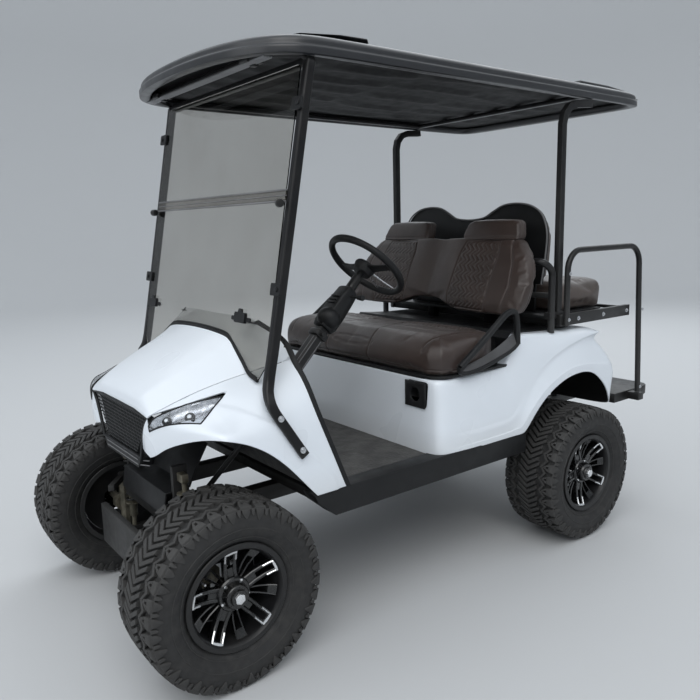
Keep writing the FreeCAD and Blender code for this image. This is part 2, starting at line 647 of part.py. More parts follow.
# plan line where the hood meets the fenders
SEAM = [(200, 277), (115, 277), (65, 293), (5, 311), (-40, 325), (-102, 344), (-185, 370), (-319, 437), (-500, 437)]
GRILLE = [(-264, 792), (-234, 760), (-213, 718), (-180, 640), (180, 640), (213, 718), (234, 760), (264, 792), (150, 800), (-150, 800)]


def cowl_solid(depth):
    """The cowl as a block, its skin moved in by depth."""
    rings = []
    for x, centre, *points in COWL:
        half = [tuple(p) for p in points]
        left = list(reversed(half))
        outline = left + [(0, centre)] + [(-y, z) for y, z in half]
        rings.append([(fx(x), y, z) for y, z in inset(outline, depth)])
    body = flat_sided(rings)
    half_plan = [(fx(x) - (depth if x > 0 else 0), y - depth) for x, y in NOSE]
    plan = half_plan + [(x, -y) for x, y in reversed(half_plan)]
    return body.common(prism_z(plan, 480, 1100))


def both_sides(rows):
    return [(fx(x), y) for x, y in rows] + [(fx(x), -y) for x, y in reversed(rows)]


cowl_outer = cowl_solid(0)
cowl_inner = cowl_solid(PANEL)
rear_cut = prism_y([(fx(x), z) for x, z in COWL_REAR] + [(fx(-700), 500), (fx(-700), 1100)], -700, 700)
front_arch = prism_y([(fx(min(x, NOSE_WALL)), z) for x, z in ARCH], ARCH_IN, 700)
front_arch = front_arch.fuse(prism_y([(fx(x), z) for x, z in ARCH], TIP_Y, 700))
open_foot = box(fx(-500), fx(200), -700, 700, 400, FENDER_FOOT)
chin = prism_x([(-TIP_Y, 400), (TIP_Y, 400), (TIP_Y, 690), (180, 640), (-180, 640), (-TIP_Y, 690)], fx(-330), fx(200))
grille_hole = prism_x(GRILLE, fx(90), fx(200))
skin = cowl_outer.cut(cowl_inner)
cowl = skin.cut(fuse([rear_cut, open_foot])).cut(front_arch).cut(mirrored(front_arch)).cut(chin).cut(grille_hole)

# Headlamps, wedges set flush into the corners of the nose
LAMP_PLAN = [(120, 273), (120, 300), (80, 450), (36, 472), (-92, 402), (20, 348)]
LAMP_DEPTH = 24.0
lamp_block = prism_z([(fx(x), y) for x, y in LAMP_PLAN], 700, 900)
lamp_floor = prism_y([(fx(160), 740), (fx(36), 808), (fx(20), 700), (fx(160), 700)], 200, 600)
lamp_block = lamp_block.cut(lamp_floor)
headlight = cowl_outer.cut(cowl_solid(LAMP_DEPTH)).common(lamp_block)
export("headlights", pair(headlight))
cowl = cowl.cut(lamp_block).cut(mirrored(lamp_block))

seam_in = prism_z(both_sides([(x, y - SHUT_LINE / 2) for x, y in SEAM]), 400, 1200)
seam_out = prism_z(both_sides([(x, y + SHUT_LINE / 2) for x, y in SEAM]), 400, 1200)
export("hood", cowl.common(seam_in))
export("front_fenders", cowl.cut(seam_out))

# Grille, a hexagonal mesh behind the opening
HEX_PITCH = 80.0
HEX_R = 38.0
GRILLE_X = 100.0
mesh = prism_x(inset(GRILLE, SEAT_GAP), fx(GRILLE_X), fx(GRILLE_X + 8))
holes = []
for row in range(2):
    z = 683 + HEX_PITCH * row * math.cos(math.pi / 6)
    for k in range(-4, 4):
        y = (k + (0.5 if row % 2 else 0.0)) * HEX_PITCH
        if abs(y) < 165 + 0.4 * (z - 668):
            points = [(y + HEX_R * math.sin(math.radians(60 * i)), z + HEX_R * math.cos(math.radians(60 * i)))
                      for i in range(6)]
            holes.append(prism_x(points, fx(GRILLE_X - 5), fx(GRILLE_X + 15)))
export("grille", mesh.cut(fuse(holes)))
valance = prism_x([(-176, 639.7), (-150, 602), (150, 602), (176, 639.7)], fx(60), fx(112))
valance_hollow = prism_x([(-168, 634), (-146, 607), (146, 607), (168, 634)], fx(50), fx(107))
export("lower_valance", valance.cut(valance_hollow))

# Bumper, a bent plate under the nose that rests on the rails
BUMPER_HALF = 190.0
bumper_rows = [(40.3, 425), (56, 425), (56, 437), (44, 506), (-40, 511), (-65, 565), (-115, 649), (-121, 645),
               (-71, 561), (-46, 505), (38, 500), (45, 447.3), (-60, 447.3), (-60, RAIL_Z1 + SEAT_GAP),
               (40.3, RAIL_Z1 + SEAT_GAP)]
bumper = prism_y([(fx(x), z) for x, z in bumper_rows], -BUMPER_HALF, BUMPER_HALF)
export("front_bumper", bumper)

# Dash, inside the cowl's rear edge, with two glove pockets
DASH_ROWS = [(-262, 1062), (-305, 1046), (-312, 990), (-250, 850), (TOE_TOP_X - 2, TOE_TOP_Z + SEAT_GAP),
             (TOE_TOP_X + 5, TOE_TOP_Z + SEAT_GAP), (-243, 852), (-305, 990), (-298, 1040), (-262, 1055)]
dash = prism_y([(fx(x), z) for x, z in DASH_ROWS], -700, 700)
dash = dash.cut(fuse([box(fx(-400), fx(-100), sign * 300 - 110, sign * 300 + 110, 880, 960) for sign in (1, -1)]))
for sign in (1, -1):
    y0, y1 = sign * 300 - 112, sign * 300 + 112
    pocket = box(fx(-285), fx(-185), y0, y1, 872, 962)
    hollow = box(fx(-320), fx(-190), y0 + 4, y1 - 4, 877, 957)
    dash = dash.fuse(pocket).cut(hollow)
dash = dash.common(cowl_solid(PANEL + SEAT_GAP))
dash = dash.cut(post(on_column(300), on_column(900), COLUMN_R + SEAT_GAP, 12))
export("dash_panel", dash)

# Rear body. Half sections square to the cart, each a row of
# offset from the rear axle, top height, crease y, crease z, low y
REAR_BODY = [(-340, 800, 560, 700, 560), (-250, 860, 568, 780, 580), (-171, 903, 570, 856, 590),
             (-8, 908, 570, 840, 592), (131, 911, 570, 802, 592), (230, 917, 570, 757, 590), (318, 926, 568, 673, 586),
             (337, 900, 568, 645, 584), (379, 850, 569, 622, 580), (395, 800, 571, 606, 578),
             (830, 800, 572, 604, 577)]
BODY_TOP_Y = 545.0
BODY_SIDE = [(823, 400), (823, 520), (800, 800), (800, 1000), (-150, 1000), (-150, 903), (-205, 875), (-250, 812),
             (-300, 723), (-333, 609), (-300, 520), (-300, 400)]
REAR_ARCH = [(333, 400), (333, 525), (283, 587), (233, 642), (120, 700), (15, 723), (-66, 724), (-160, 688), (-235, 616),
             (-256, 556), (-234, 518), (-234, 400)]
REAR_ARCH_IN = 400.0
BAY_FRONT = 775.0
BAY_REAR = 322.0
BAY_HALF = 500.0
CORNER_R = 60.0


def rear_solid(depth):
    rings = []
    for x, top, crease_y, crease_z, low_y in REAR_BODY:
        half = [(low_y, 500), (crease_y, crease_z), (BODY_TOP_Y, top)]
        outline = half + [(-y, z) for y, z in reversed(half)]
        rings.append([(rx(x), y, z) for y, z in inset(outline, depth)])
    side = [(rx(x), z) for x, z in inset(BODY_SIDE, depth)]
    plan = soft([(rx(823) - depth, 610 - depth, CORNER_R), (rx(823) - depth, depth - 610, CORNER_R),
                 (rx(-345) + depth, depth - 610, 150), (rx(-345) + depth, 610 - depth, 150)])
    return flat_sided(rings).common(prism_y(side, -700, 700)).common(prism_z(plan, 450, 1000))


body_foot = fuse([box(rx(-400), rx(900), -700, 700, 400, FENDER_FOOT - 6),
                  box(rx(300), rx(900), -700, 700, 400, FENDER_FOOT)])
rear_arch = prism_y([(rx(x), z) for x, z in REAR_ARCH], REAR_ARCH_IN, 700)
bay = prism_z([(rx(BAY_REAR), BAY_HALF), (rx(BAY_REAR), -BAY_HALF), (rx(BAY_FRONT), -BAY_HALF), (rx(BAY_FRONT), BAY_HALF)],
              740, 1000)
rear_outer = rear_solid(0)
DECK_Z = 974.0
DECK_THICK = 12.0
DECK_FRONT = 120.0
DECK_REAR = -300.0
FRONT_LEG_X = DECK_FRONT - 20
REAR_BEARER_X = DECK_REAR + 100


def legs_at(x, grow, top):
    """A pair of legs that stand on the rails, each side moved out by grow."""
    return [box(rx(x) - 18 - grow, rx(x) + 18 + grow, y - 20 - grow, y + 20 + grow, RAIL_Z1 + SEAT_GAP, top) for y in (-RAIL_Y, RAIL_Y)]


rear_skin = rear_outer.cut(rear_solid(PANEL)).cut(fuse([body_foot, bay] + legs_at(FRONT_LEG_X, SEAT_GAP, 1000) + legs_at(REAR_BEARER_X, SEAT_GAP, 1000))).cut(rear_arch).cut(mirrored(rear_arch))

# Charge socket on the front face, below the driver's side of the seat
SOCKET_Y = 439.0
SOCKET_Z = 738.0
SOCKET_BORE = 27.0
SOCKET_DEPTH = 42.0
socket_hole = box(rx(770), rx(830), SOCKET_Y - 45, SOCKET_Y + 45, SOCKET_Z - 40, SOCKET_Z + 40)
rear_skin = rear_skin.cut(socket_hole)
# tail lamp openings in the rear wall
TAIL_Y = 430.0
TAIL_ROWS = [(TAIL_Y - 70, 735), (TAIL_Y + 70, 735), (TAIL_Y + 70, 790), (TAIL_Y - 70, 800)]
tail_block = prism_x(TAIL_ROWS, rx(-330), rx(-230))
rear_skin = rear_skin.cut(tail_block).cut(mirrored(tail_block))
export("rear_body", rear_skin)
tail = rear_outer.cut(rear_solid(24)).common(prism_x(inset(TAIL_ROWS, SEAT_GAP), rx(-330), rx(-230)))
export("tail_lights", pair(tail))
socket_face = rx(806)
socket = box(socket_face - SOCKET_DEPTH, socket_face + 6, SOCKET_Y - 44.7, SOCKET_Y + 44.7, SOCKET_Z - 39.7, SOCKET_Z + 39.7)
socket = socket.fuse(box(socket_face, socket_face + 6, SOCKET_Y - 55, SOCKET_Y + 55, SOCKET_Z - 49, SOCKET_Z + 49))
socket = socket.cut(post((socket_face - SOCKET_DEPTH + 8, SOCKET_Y, SOCKET_Z), (socket_face + 10, SOCKET_Y, SOCKET_Z), SOCKET_BORE, 12))
export("charge_socket", socket.cut(rear_outer.cut(rear_solid(PANEL)).cut(socket_hole)))

# Rear deck, the floor behind the front seat that carries the rear seat
deck_parts = [box(rx(DECK_REAR), rx(DECK_FRONT), -500, 500, DECK_Z - DECK_THICK, DECK_Z)] + legs_at(FRONT_LEG_X, 0, DECK_Z - DECK_THICK)
export("rear_deck", fuse(deck_parts))

# Front seat: a lid over the battery bay that turns up about a rod at its rear edge
LID_REAR = 403.0
LID_FRONT = 790.0
LID_Z = 800.0 + SEAT_GAP
LID_THICK = 10.0
HINGE_X = 383.0
HINGE_Z = 806.0
HINGE_R = 6.0
HINGE_KNUCKLE_R = 11.0
lid = prism_z([(rx(LID_REAR), 540), (rx(LID_REAR), -540), (rx(LID_FRONT), -540, 70), (rx(LID_FRONT), 540, 70)], LID_Z, LID_Z + LID_THICK)
lid_knuckles = []
for y in (-300, 300):
    sleeve = post((rx(HINGE_X), y - 40, HINGE_Z), (rx(HINGE_X), y + 40, HINGE_Z), HINGE_KNUCKLE_R, 12)
    leaf_plate = box(rx(HINGE_X), rx(LID_REAR) + 1, y - 40, y + 40, LID_Z, LID_Z + LID_THICK)
    lid_knuckles += [sleeve, leaf_plate]
lid = fuse([lid] + lid_knuckles)
lid = lid.cut(post((rx(HINGE_X), -400, HINGE_Z), (rx(HINGE_X), 400, HINGE_Z), bore_r(HINGE_R), BORE_SIDES))
export("seat_lid", lid)
rod_end = BAY_HALF + 20
hinge_parts = [post((rx(HINGE_X), -rod_end, HINGE_Z), (rx(HINGE_X), rod_end - 12, HINGE_Z), HINGE_R, 12),
               rod((rx(HINGE_X), rod_end - 12, HINGE_Z), (rx(HINGE_X), rod_end, HINGE_Z), HINGE_R)]
for y in (-420, -180, 180, 420):
    hinge_parts.append(box(rx(HINGE_X) - 9, rx(HINGE_X) + 9, y - 8, y + 8, 770, HINGE_Z + 7))
hinge_parts.append(box(rx(HINGE_X) - 15, rx(HINGE_X) + 5, -REAR_ARCH_IN - 100 + 5, REAR_ARCH_IN + 95, 760, 785))
for sign in (1, -1):
    hinge_parts.append(box(rx(HINGE_X) - 15, rx(HINGE_X) + 5, *sorted((sign * 455, sign * 490)), cross_top + SEAT_GAP, 785))
export("seat_frame", fuse(hinge_parts).cut(rear_skin))
CUSHION_Z1 = 935.0
cushion_plan = [(rx(412), 493, 30), (rx(412), -493, 30), (rx(560), -546, 30), (rx(795), -546, 120), (rx(795), 546, 120), (rx(560), 546, 30)]
cushion_levels = [(LID_Z + LID_THICK, 12), (LID_Z + LID_THICK + 20, 0), (CUSHION_Z1 - 30, 0), (CUSHION_Z1, 24)]
export("seat_cushion", stack(cushion_plan, cushion_levels, 2))

# Hip restraints, moulded loops that stand on the body beside the seat
HIP_Y0 = 552.0
HIP_Y1 = 575.0
HIP_ROWS = [(689, 803), (700, 826), (600, 838), (520, 868), (470, 930), (456, 1018), (444, 1029), (392, 1030), (381, 1020), (362, 965),
            (340, 905), (379, 852), (395, 803)]
HIP_HOLE = [(560, 838), (500, 862), (448, 920), (430, 1006), (400, 1006), (386, 960), (386, 895), (440, 838)]
hip = prism_y([(rx(x), z) for x, z in HIP_ROWS], HIP_Y0 - 8, HIP_Y1)
hip_dish = prism_y([(rx(x), z) for x, z in HIP_HOLE], HIP_Y0 + 12, HIP_Y1 + 1)
hip = hip.cut(hip_dish).cut(box(rx(300), rx(700), HIP_Y0 - 9, HIP_Y0, 780, 838)).cut(box(rx(400), rx(700), HIP_Y0 - 9, HIP_Y0, 780, 1100))
export("hip_restraints", pair(hip.cut(rear_outer)))

# Seat back with two headrests on bent tube brackets

def leaning(rows, x_low, z_low, x_high, z_high, thick, bulge=0.0):
    """A flat-sided pad on a leaning plane; rows are (y, z), x is the front of the pad."""
    slope = (x_high - x_low) / (z_high - z_low)
    front = [(rx(x_low + slope * (z - z_low)), y, z) for y, z in rows]
    small = inset(rows, 22)
    face = [(rx(x_low + slope * (z - z_low)) + bulge, y, z) for y, z in small]
    back = [(x - thick, y, z) for x, y, z in front]
    return flat_sided([back, front, face])


back_rows = [(530, 1000), (545, 1100), (520, 1200), (440, 1300), (-440, 1300), (-520, 1200), (-545, 1100), (-530, 1000),
             (-220, 992), (-90, 1036), (90, 1036), (220, 992)]
head_rows = [(118, 1290), (423, 1290), (423, 1340), (395, 1377), (146, 1377), (118, 1340)]
seat_back = leaning(back_rows, 340, 1000, 205, 1300, 62, 24)
heads = [leaning([(sign * y, z) for y, z in head_rows][::sign], 212, 1290, 175, 1377, 60, 16) for sign in (1, -1)]
export("seat_back", fuse([seat_back] + heads))
BRACKET_R = 15.0
bracket = pipe([(rx(117), 535, 905), (rx(117), 535, 1165), (rx(172), 535, 1205)], 55, BRACKET_R, 8, 2)
bracket_bar = post((rx(172), 535, 1205), (rx(172), -535, 1205), 12, 8)
low_bar = post((rx(117), 535, 1060), (rx(117), -535, 1060), 12, 8)
pegs = [post((rx(117), sign * 300, 1060), (rx(260), sign * 300, 1060), 12, 8) for sign in (1, -1)]
brackets = fuse([bracket, mirrored(bracket), bracket_bar, low_bar] + pegs)
export("seat_back_brackets", brackets.cut(seat_back).cut(rear_outer))

# Rear seat: moulded shell and pad facing rearwards, and a flip-over cushion
SHELL_ROWS = [(441, 1100), (454, 1288), (425, 1391), (338, 1450), (198, 1450), (60, 1385), (-60, 1385), (-198, 1450), (-338, 1450),
              (-425, 1391), (-454, 1288), (-441, 1100)]
shell = leaning(SHELL_ROWS, 62, 1100, 24, 1450, 12)
shell = shell.fuse(box(rx(36), rx(50), -400, 400, DECK_Z + SEAT_GAP, 1120))
export("rear_seat_back_shell", shell)
pad_rows = [(425, 1110), (436, 1285), (405, 1372), (330, 1425), (205, 1425), (60, 1365), (-60, 1365), (-205, 1425), (-330, 1425),
            (-405, 1372), (-436, 1285), (-425, 1110)]
pad = leaning(pad_rows, 8.6, 1110, -25.6, 1425, -40, -18)
export("rear_seat_back_pad", pad.cut(shell))
FLAP_FRONT = -8.0
REAR_HINGE_X = -392.0
REAR_HINGE_Z = 968.0
REAR_HINGE_R = 8.0
flap_plan = [(rx(FLAP_FRONT), 480, 40), (rx(FLAP_FRONT), -480, 40), (rx(-372), -480, 40), (rx(-372), 480, 40)]
flap = prism_y([(rx(FLAP_FRONT), DECK_Z + SEAT_GAP), (rx(FLAP_FRONT), 1100, 12), (rx(-320), 1100, 30), (rx(-378), 1000, 15), (rx(-378), DECK_Z + SEAT_GAP)], -480, 480)
flap = flap.common(stack(flap_plan, [(900, 0), (1060, 0), (1101, 12)], 2))
sleeves = [post((rx(REAR_HINGE_X), y - 30, REAR_HINGE_Z), (rx(REAR_HINGE_X), y + 30, REAR_HINGE_Z), REAR_HINGE_R + 7, 12) for y in (-420, 420)]
tabs = [box(rx(REAR_HINGE_X), rx(-340), y - 30, y + 30, DECK_Z + SEAT_GAP, DECK_Z + 9) for y in (-420, 420)]
flap = fuse([flap] + sleeves + tabs)
export("rear_cushion", flap.cut(post((rx(REAR_HINGE_X), -460, REAR_HINGE_Z), (rx(REAR_HINGE_X), 460, REAR_HINGE_Z), bore_r(REAR_HINGE_R), BORE_SIDES)))

# Rear seat frame and the tall grab rails that stand outside it
SIDE_RAIL_Y = 538.0
GRAB_Y = 560.0
GRAB_R = 13.0
side_rail = box(rx(-465), rx(70), SIDE_RAIL_Y - 10, GRAB_Y - GRAB_R * math.cos(math.pi / 8) - SEAT_GAP, 926, 975)
cross_rear = box(rx(-385), rx(-345), -SIDE_RAIL_Y, SIDE_RAIL_Y, 926, 950)
hinge_rod = rod((rx(REAR_HINGE_X), -SIDE_RAIL_Y, REAR_HINGE_Z), (rx(REAR_HINGE_X), SIDE_RAIL_Y, REAR_HINGE_Z), REAR_HINGE_R)
bearers = [box(rx(x) - 20, rx(x) + 20, -SIDE_RAIL_Y, SIDE_RAIL_Y, 926, DECK_Z - DECK_THICK - SEAT_GAP) for x in (REAR_BEARER_X, 40)]
bearers += legs_at(REAR_BEARER_X, 0, 930)
export("rear_seat_frame", fuse([side_rail, mirrored(side_rail), cross_rear, hinge_rod] + bearers))
grab_points = [(rx(45), GRAB_Y, 930), (rx(45), GRAB_Y, 1246), (rx(-505), GRAB_Y, 1250), (rx(-548), GRAB_Y, 545)]
grab = pipe(grab_points, 90, GRAB_R, 8, 3)
export("grab_rails", pair(grab.cut(rear_outer)))

# Folding-look foot platform behind the rear wheels
PLATE_REAR = -740.0
PLATE_FRONT = -415.0
PLATE_Z = 545.0
PLATE_HALF = 520.0
plate = prism_z(soft([(rx(PLATE_REAR), PLATE_HALF, 60), (rx(PLATE_REAR), -PLATE_HALF, 60), (rx(PLATE_FRONT), -PLATE_HALF), (rx(PLATE_FRONT), PLATE_HALF)], 3), PLATE_Z - 45, PLATE_Z)
under = prism_z(soft([(rx(PLATE_REAR) + 8, PLATE_HALF - 8, 54), (rx(PLATE_REAR) + 8, 8 - PLATE_HALF, 54), (rx(PLATE_FRONT) - 8, 8 - PLATE_HALF), (rx(PLATE_FRONT) - 8, PLATE_HALF - 8)], 3), PLATE_Z - 50, PLATE_Z - 8)
plate = plate.cut(under)
arms = []
for sign in (1, -1):
    arms.append(box(rx(-560), rx(-400), *sorted((sign * (RAIL_Y - 20), sign * (RAIL_Y + 20))), RAIL_Z1 + SEAT_GAP, PLATE_Z - 4))
    arms.append(box(rx(-440), rx(-330), *sorted((sign * (RAIL_Y - 20), sign * (RAIL_Y + 20))), RAIL_Z1 + SEAT_GAP, RAIL_Z1 + 40))
    arms.append(box(rx(-570), rx(-526), *sorted((sign * (PLATE_HALF - 4), sign * (GRAB_Y + 20))), PLATE_Z - 40, PLATE_Z - 5))
export("foot_platform", fuse([plate] + arms).cut(fuse([grab, mirrored(grab)])))

# Steering wheel on its column
WHEEL_R = 165.0
GRIP_R = 13.0
COLUMN_TOP = 62.0
STUB_R = 11.0


def hoop(radius, thick, count, sides):
    """A ring of round section about the Z axis."""
    rings = []
    for i in range(count):
        a = 2 * math.pi * i / count
        rings.append([V((radius + thick * math.cos(b)) * math.cos(a), (radius + thick * math.cos(b)) * math.sin(a), thick * math.sin(b))
                      for b in (2 * math.pi * (j + 0.5) / sides for j in range(sides))])
    faces = []
    for i in range(count):
        one, two = rings[i], rings[(i + 1) % count]
        for j in range(sides):
            k = (j + 1) % sides
            faces.append(Part.Face(Part.makePolygon([one[j], one[k], two[k], two[j], one[j]])))
    solid = Part.Solid(Part.Shell(faces))
    if solid.Volume < 0:
        solid.reverse()
    return solid


def on_wheel_axis(shape):
    """Turn a shape built about Z so that Z runs up along the steering axis, from the hub."""
    turned = shape.copy()
    turned.rotate(V(0, 0, 0), V(0, 1, 0), COLUMN_TILT - 90)
    turned.translate(hub)
    return turned


spokes = [hoop(WHEEL_R - GRIP_R, GRIP_R, 18, 6)]
for angle in (0, 180, 250, 290):
    a = math.radians(angle - 90)
    out = V(math.cos(a), math.sin(a), 0)
    across = V(-math.sin(a), math.cos(a), 0)
    half = 14 if angle in (0, 180) else 7
    inner, outer = out * 30 + V(0, 0, -22), out * (WHEEL_R - GRIP_R) + V(0, 0, 0)
    spokes.append(flat_sided([[tuple(p + across * s + V(0, 0, t)) for s, t in ((-half, -4), (half, -4), (half, 4), (-half, 4))]
                              for p in (inner, outer)]))
boss = flat_sided([[(r * math.cos(t), r * math.sin(t), z) for t in (2 * math.pi * i / 8 for i in range(8))]
                   for z, r in ((-38, 34), (-8, 44), (-2, 40))])
stub = post((0, 0, -110), (0, 0, -30), STUB_R, 12)
export("steering_wheel", on_wheel_axis(fuse(spokes + [boss, stub])))
column_top = on_column(COLUMN_TOP - 10)
column = post(on_column(COLUMN_TOP), on_column(790), COLUMN_R, 12)
column = column.cut(post(column_top, on_column(130), bore_r(STUB_R), BORE_SIDES))
shaft = mitred([on_column(780), (fx(-120), 138, 455), (rack_x, 45, RACK_Z + 42)],
               polygon_about(on_column(780), V(fx(-120), 138, 455) - on_column(780), 10, 8))
pinion_box = post((rack_x, 45, RACK_Z + 32 + SEAT_GAP), (rack_x, 45, RACK_Z + 60), 19, 8)
shroud = flat_sided([[tuple(on_column(run) + V(0, a, 0) + V(math.sin(tilt), 0, math.cos(tilt)) * b) for a, b in
                      ((-30, -28), (30, -28), (34, 10), (20, 34), (-20, 34), (-34, 10))] for run in (95, 240)])
export("steering_column", fuse([column, shaft, pinion_box, shroud.cut(post(on_column(60), on_column(131), bore_r(STUB_R), BORE_SIDES))]))

# Pedals on arms hung from the toe board
pedal_parts = []
for y, wide, tall in ((175, 55, 60), (95, 42, 110)):
    x0, z0 = -262, 650
    foot_slope = math.atan(toe_slope)
    at = V(fx(x0) - 75, y, z0 - 40)
    pad_up = V(math.cos(foot_slope), 0, math.sin(foot_slope))
    pad_out = V(-math.sin(foot_slope), 0, math.cos(foot_slope))
    face = bar(at - pad_up * (tall / 2), at + pad_up * (tall / 2), wide, 12)
    stem = bar(at, at - pad_out * 43, 16, 16)
    pedal_parts.append(fuse([face, stem]).cut(floor))
export("pedals", Part.makeCompound(pedal_parts))

# Windshield, two flat panes on one leaning plane
GLASS_HALF = 486.0
GLASS_THICK = 5.0
GLASS_LEAN = 0.186
SPLIT_Z = 1452.0
STRIP_TALL = 21.0
GLASS_TOP = 1850.0
# lower edge of the glass, (share of its half width, z)
GLASS_FOOT = [(0.916, 889), (0.805, 902), (0.695, 936), (0.514, 990), (0.428, 1010)]
GLASS_LINE = [(-share * GLASS_HALF, z) for share, z in GLASS_FOOT] + [(share * GLASS_HALF, z) for share, z in reversed(GLASS_FOOT)]


def glass_x(z):
    return fx(-286.0 + GLASS_LEAN * (1451.0 - z))


def pane(rows, thick, lift=0.0):
    """A sheet on the windshield plane; rows are (y, z), lift moves it forward."""
    n = V(1, 0, GLASS_LEAN).normalize()
    points = [V(glass_x(z), y, z) + n * lift for y, z in rows]
    return Part.Face(Part.makePolygon(points + points[:1])).extrude(n * thick)


cowl_clear = cowl_solid(-2.5)
lower_rows = GLASS_LINE + [(GLASS_HALF, 940), (GLASS_HALF, SPLIT_Z), (-GLASS_HALF, SPLIT_Z), (-GLASS_HALF, 940)]
export("windshield_lower", pane(lower_rows, GLASS_THICK).cut(cowl_clear))
upper_z = SPLIT_Z + STRIP_TALL
export("windshield_upper", pane([(-GLASS_HALF, upper_z), (GLASS_HALF, upper_z), (GLASS_HALF, GLASS_TOP), (-GLASS_HALF, GLASS_TOP)], GLASS_THICK))
strip_half = GLASS_HALF + 4
strip_rows = [(-strip_half, SPLIT_Z - 8), (strip_half, SPLIT_Z - 8), (strip_half, upper_z + 8), (-strip_half, upper_z + 8)]
strip = pane(strip_rows, GLASS_THICK + 8, -4)
lower_glass = pane([(-GLASS_HALF, 1300), (GLASS_HALF, 1300), (GLASS_HALF, SPLIT_Z), (-GLASS_HALF, SPLIT_Z)], GLASS_THICK)
upper_glass = pane([(-GLASS_HALF, upper_z), (GLASS_HALF, upper_z), (GLASS_HALF, GLASS_TOP), (-GLASS_HALF, GLASS_TOP)], GLASS_THICK)
export("windshield_hinge", strip.cut(lower_glass).cut(upper_glass))

# Front pillars, with a foot leg over each fender, and the tube across their tops
PILLAR_WIDE = 38.0
PILLAR_Y = GLASS_HALF + 4 + PILLAR_WIDE / 2
PILLAR_DEEP = 32.0
PILLAR_BACK = -2.5 - SEAT_GAP - PILLAR_DEEP / 2
TOP_TUBE_Z = 1858.0


def behind_glass(z):
    return glass_x(z) + PILLAR_BACK * math.hypot(1, GLASS_LEAN)


pillar_line = [(behind_glass(TOP_TUBE_Z), PILLAR_Y, TOP_TUBE_Z), (behind_glass(905), PILLAR_Y, 905)]
upright = flat_pipe(pillar_line, 1, PILLAR_WIDE, PILLAR_DEEP)
knee = V(*pillar_line[1])
leg_line = [tuple(knee + V(0, 0, 12)), (fx(-182), 564, 820), (fx(-274), 580, 668)]
leg = mitred(leg_line, [tuple(V(*leg_line[0]) + V(a, b, 0)) for a, b in ((-16, -14), (16, -14), (16, 10), (-16, 10))])
top_x = behind_glass(TOP_TUBE_Z)
top_tube = box(top_x - 16, top_x + 16, -PILLAR_Y - 19, PILLAR_Y + 19, TOP_TUBE_Z - 16, TOP_TUBE_Z + 16)
side_in = fuse([upright, leg]).cut(cowl_outer)
side_in = max(side_in.Solids, key=lambda solid: solid.Volume)
export("front_pillars", fuse([side_in, mirrored(side_in), top_tube]).cut(upper_glass))

# Clips that hold the panes to the pillars
clips = []
clip_in, clip_out = GLASS_HALF - 16, PILLAR_Y + PILLAR_WIDE / 2
for z in (1732, 1180):
    for sign in (1, -1):
        clips.append(pane([(sign * y, up) for y, up in ((clip_in, z - 20), (clip_out, z - 20), (clip_out, z + 20), (clip_in, z + 20))][::sign], 6, GLASS_THICK + SEAT_GAP))
export("windshield_clips", Part.makeCompound(clips))

# Roof, one hollow moulding with a raised pad
ROOF_PLAN = [(-527, 548, 80), (-527, -548, 80), (1370, -548, 150), (1470, -430, 220), (1525, -180, 500), (1525, 180, 500), (1470, 430, 220), (1370, 548, 150)]
roof_plan = [(rx(x), y, r) for x, y, r in ROOF_PLAN]
ROOF_UNDER = 1868.0
roof = dome(roof_plan, [(ROOF_UNDER, 0), (1908, 0), (1932, 16), (1945, 60), (1955, 200)], 2)
roof = roof.cut(dome(roof_plan, [(ROOF_UNDER - 1, 25), (1893, 25)], 1))
roof = roof.cut(box(top_x - 16.3, top_x + 16.3, -PILLAR_Y - 19.3, PILLAR_Y + 19.3, 1860, TOP_TUBE_Z + 16.3))
export("roof", roof)

# Rear struts and the rails under the roof
STRUT_Y = 513.0
STRUT_HALF = 15.0
strut_end_z = ROOF_UNDER - SEAT_GAP - STRUT_HALF - 0.5
strut_line = [(rx(46), STRUT_Y, DECK_Z + SEAT_GAP), (rx(46), 515, strut_end_z - 14), (rx(-130), 526, strut_end_z)]
strut = mitred(chorded(strut_line, 85, 3), [(rx(46) + a, STRUT_Y + b, DECK_Z + SEAT_GAP) for a, b in ((-STRUT_HALF, -12), (STRUT_HALF, -12), (STRUT_HALF, 12), (-STRUT_HALF, 12))])
strut_foot = box(rx(20), rx(72), 500 + SEAT_GAP, SIDE_RAIL_Y - 10 - SEAT_GAP, DECK_Z - DECK_THICK, DECK_Z + 14)
export("rear_struts", pair(fuse([strut, strut_foot]).cut(rear_outer)))
RAIL_TOP = 1893.0 - SEAT_GAP
RAIL_HALF = 12.0
rail_z0 = TOP_TUBE_Z + 16 + SEAT_GAP
# plan line of the rails, (offset from the rear axle, y)
RAIL_LINE = [(-120, 504), (1290, 504), (1385, 430), (1385, -430), (1290, -504), (-120, -504)]
line = [(rx(x), y, rail_z0) for x, y in RAIL_LINE]
section = [(rx(-120), 504 + a, z) for a, z in ((-RAIL_HALF, rail_z0), (RAIL_HALF, rail_z0), (RAIL_HALF, RAIL_TOP), (-RAIL_HALF, RAIL_TOP))]
rails = [mitred(line, section), box(rx(-120), rx(-96), -492, 492, rail_z0, RAIL_TOP)]
export("roof_rails", fuse(rails).cut(fuse([strut, mirrored(strut)])))
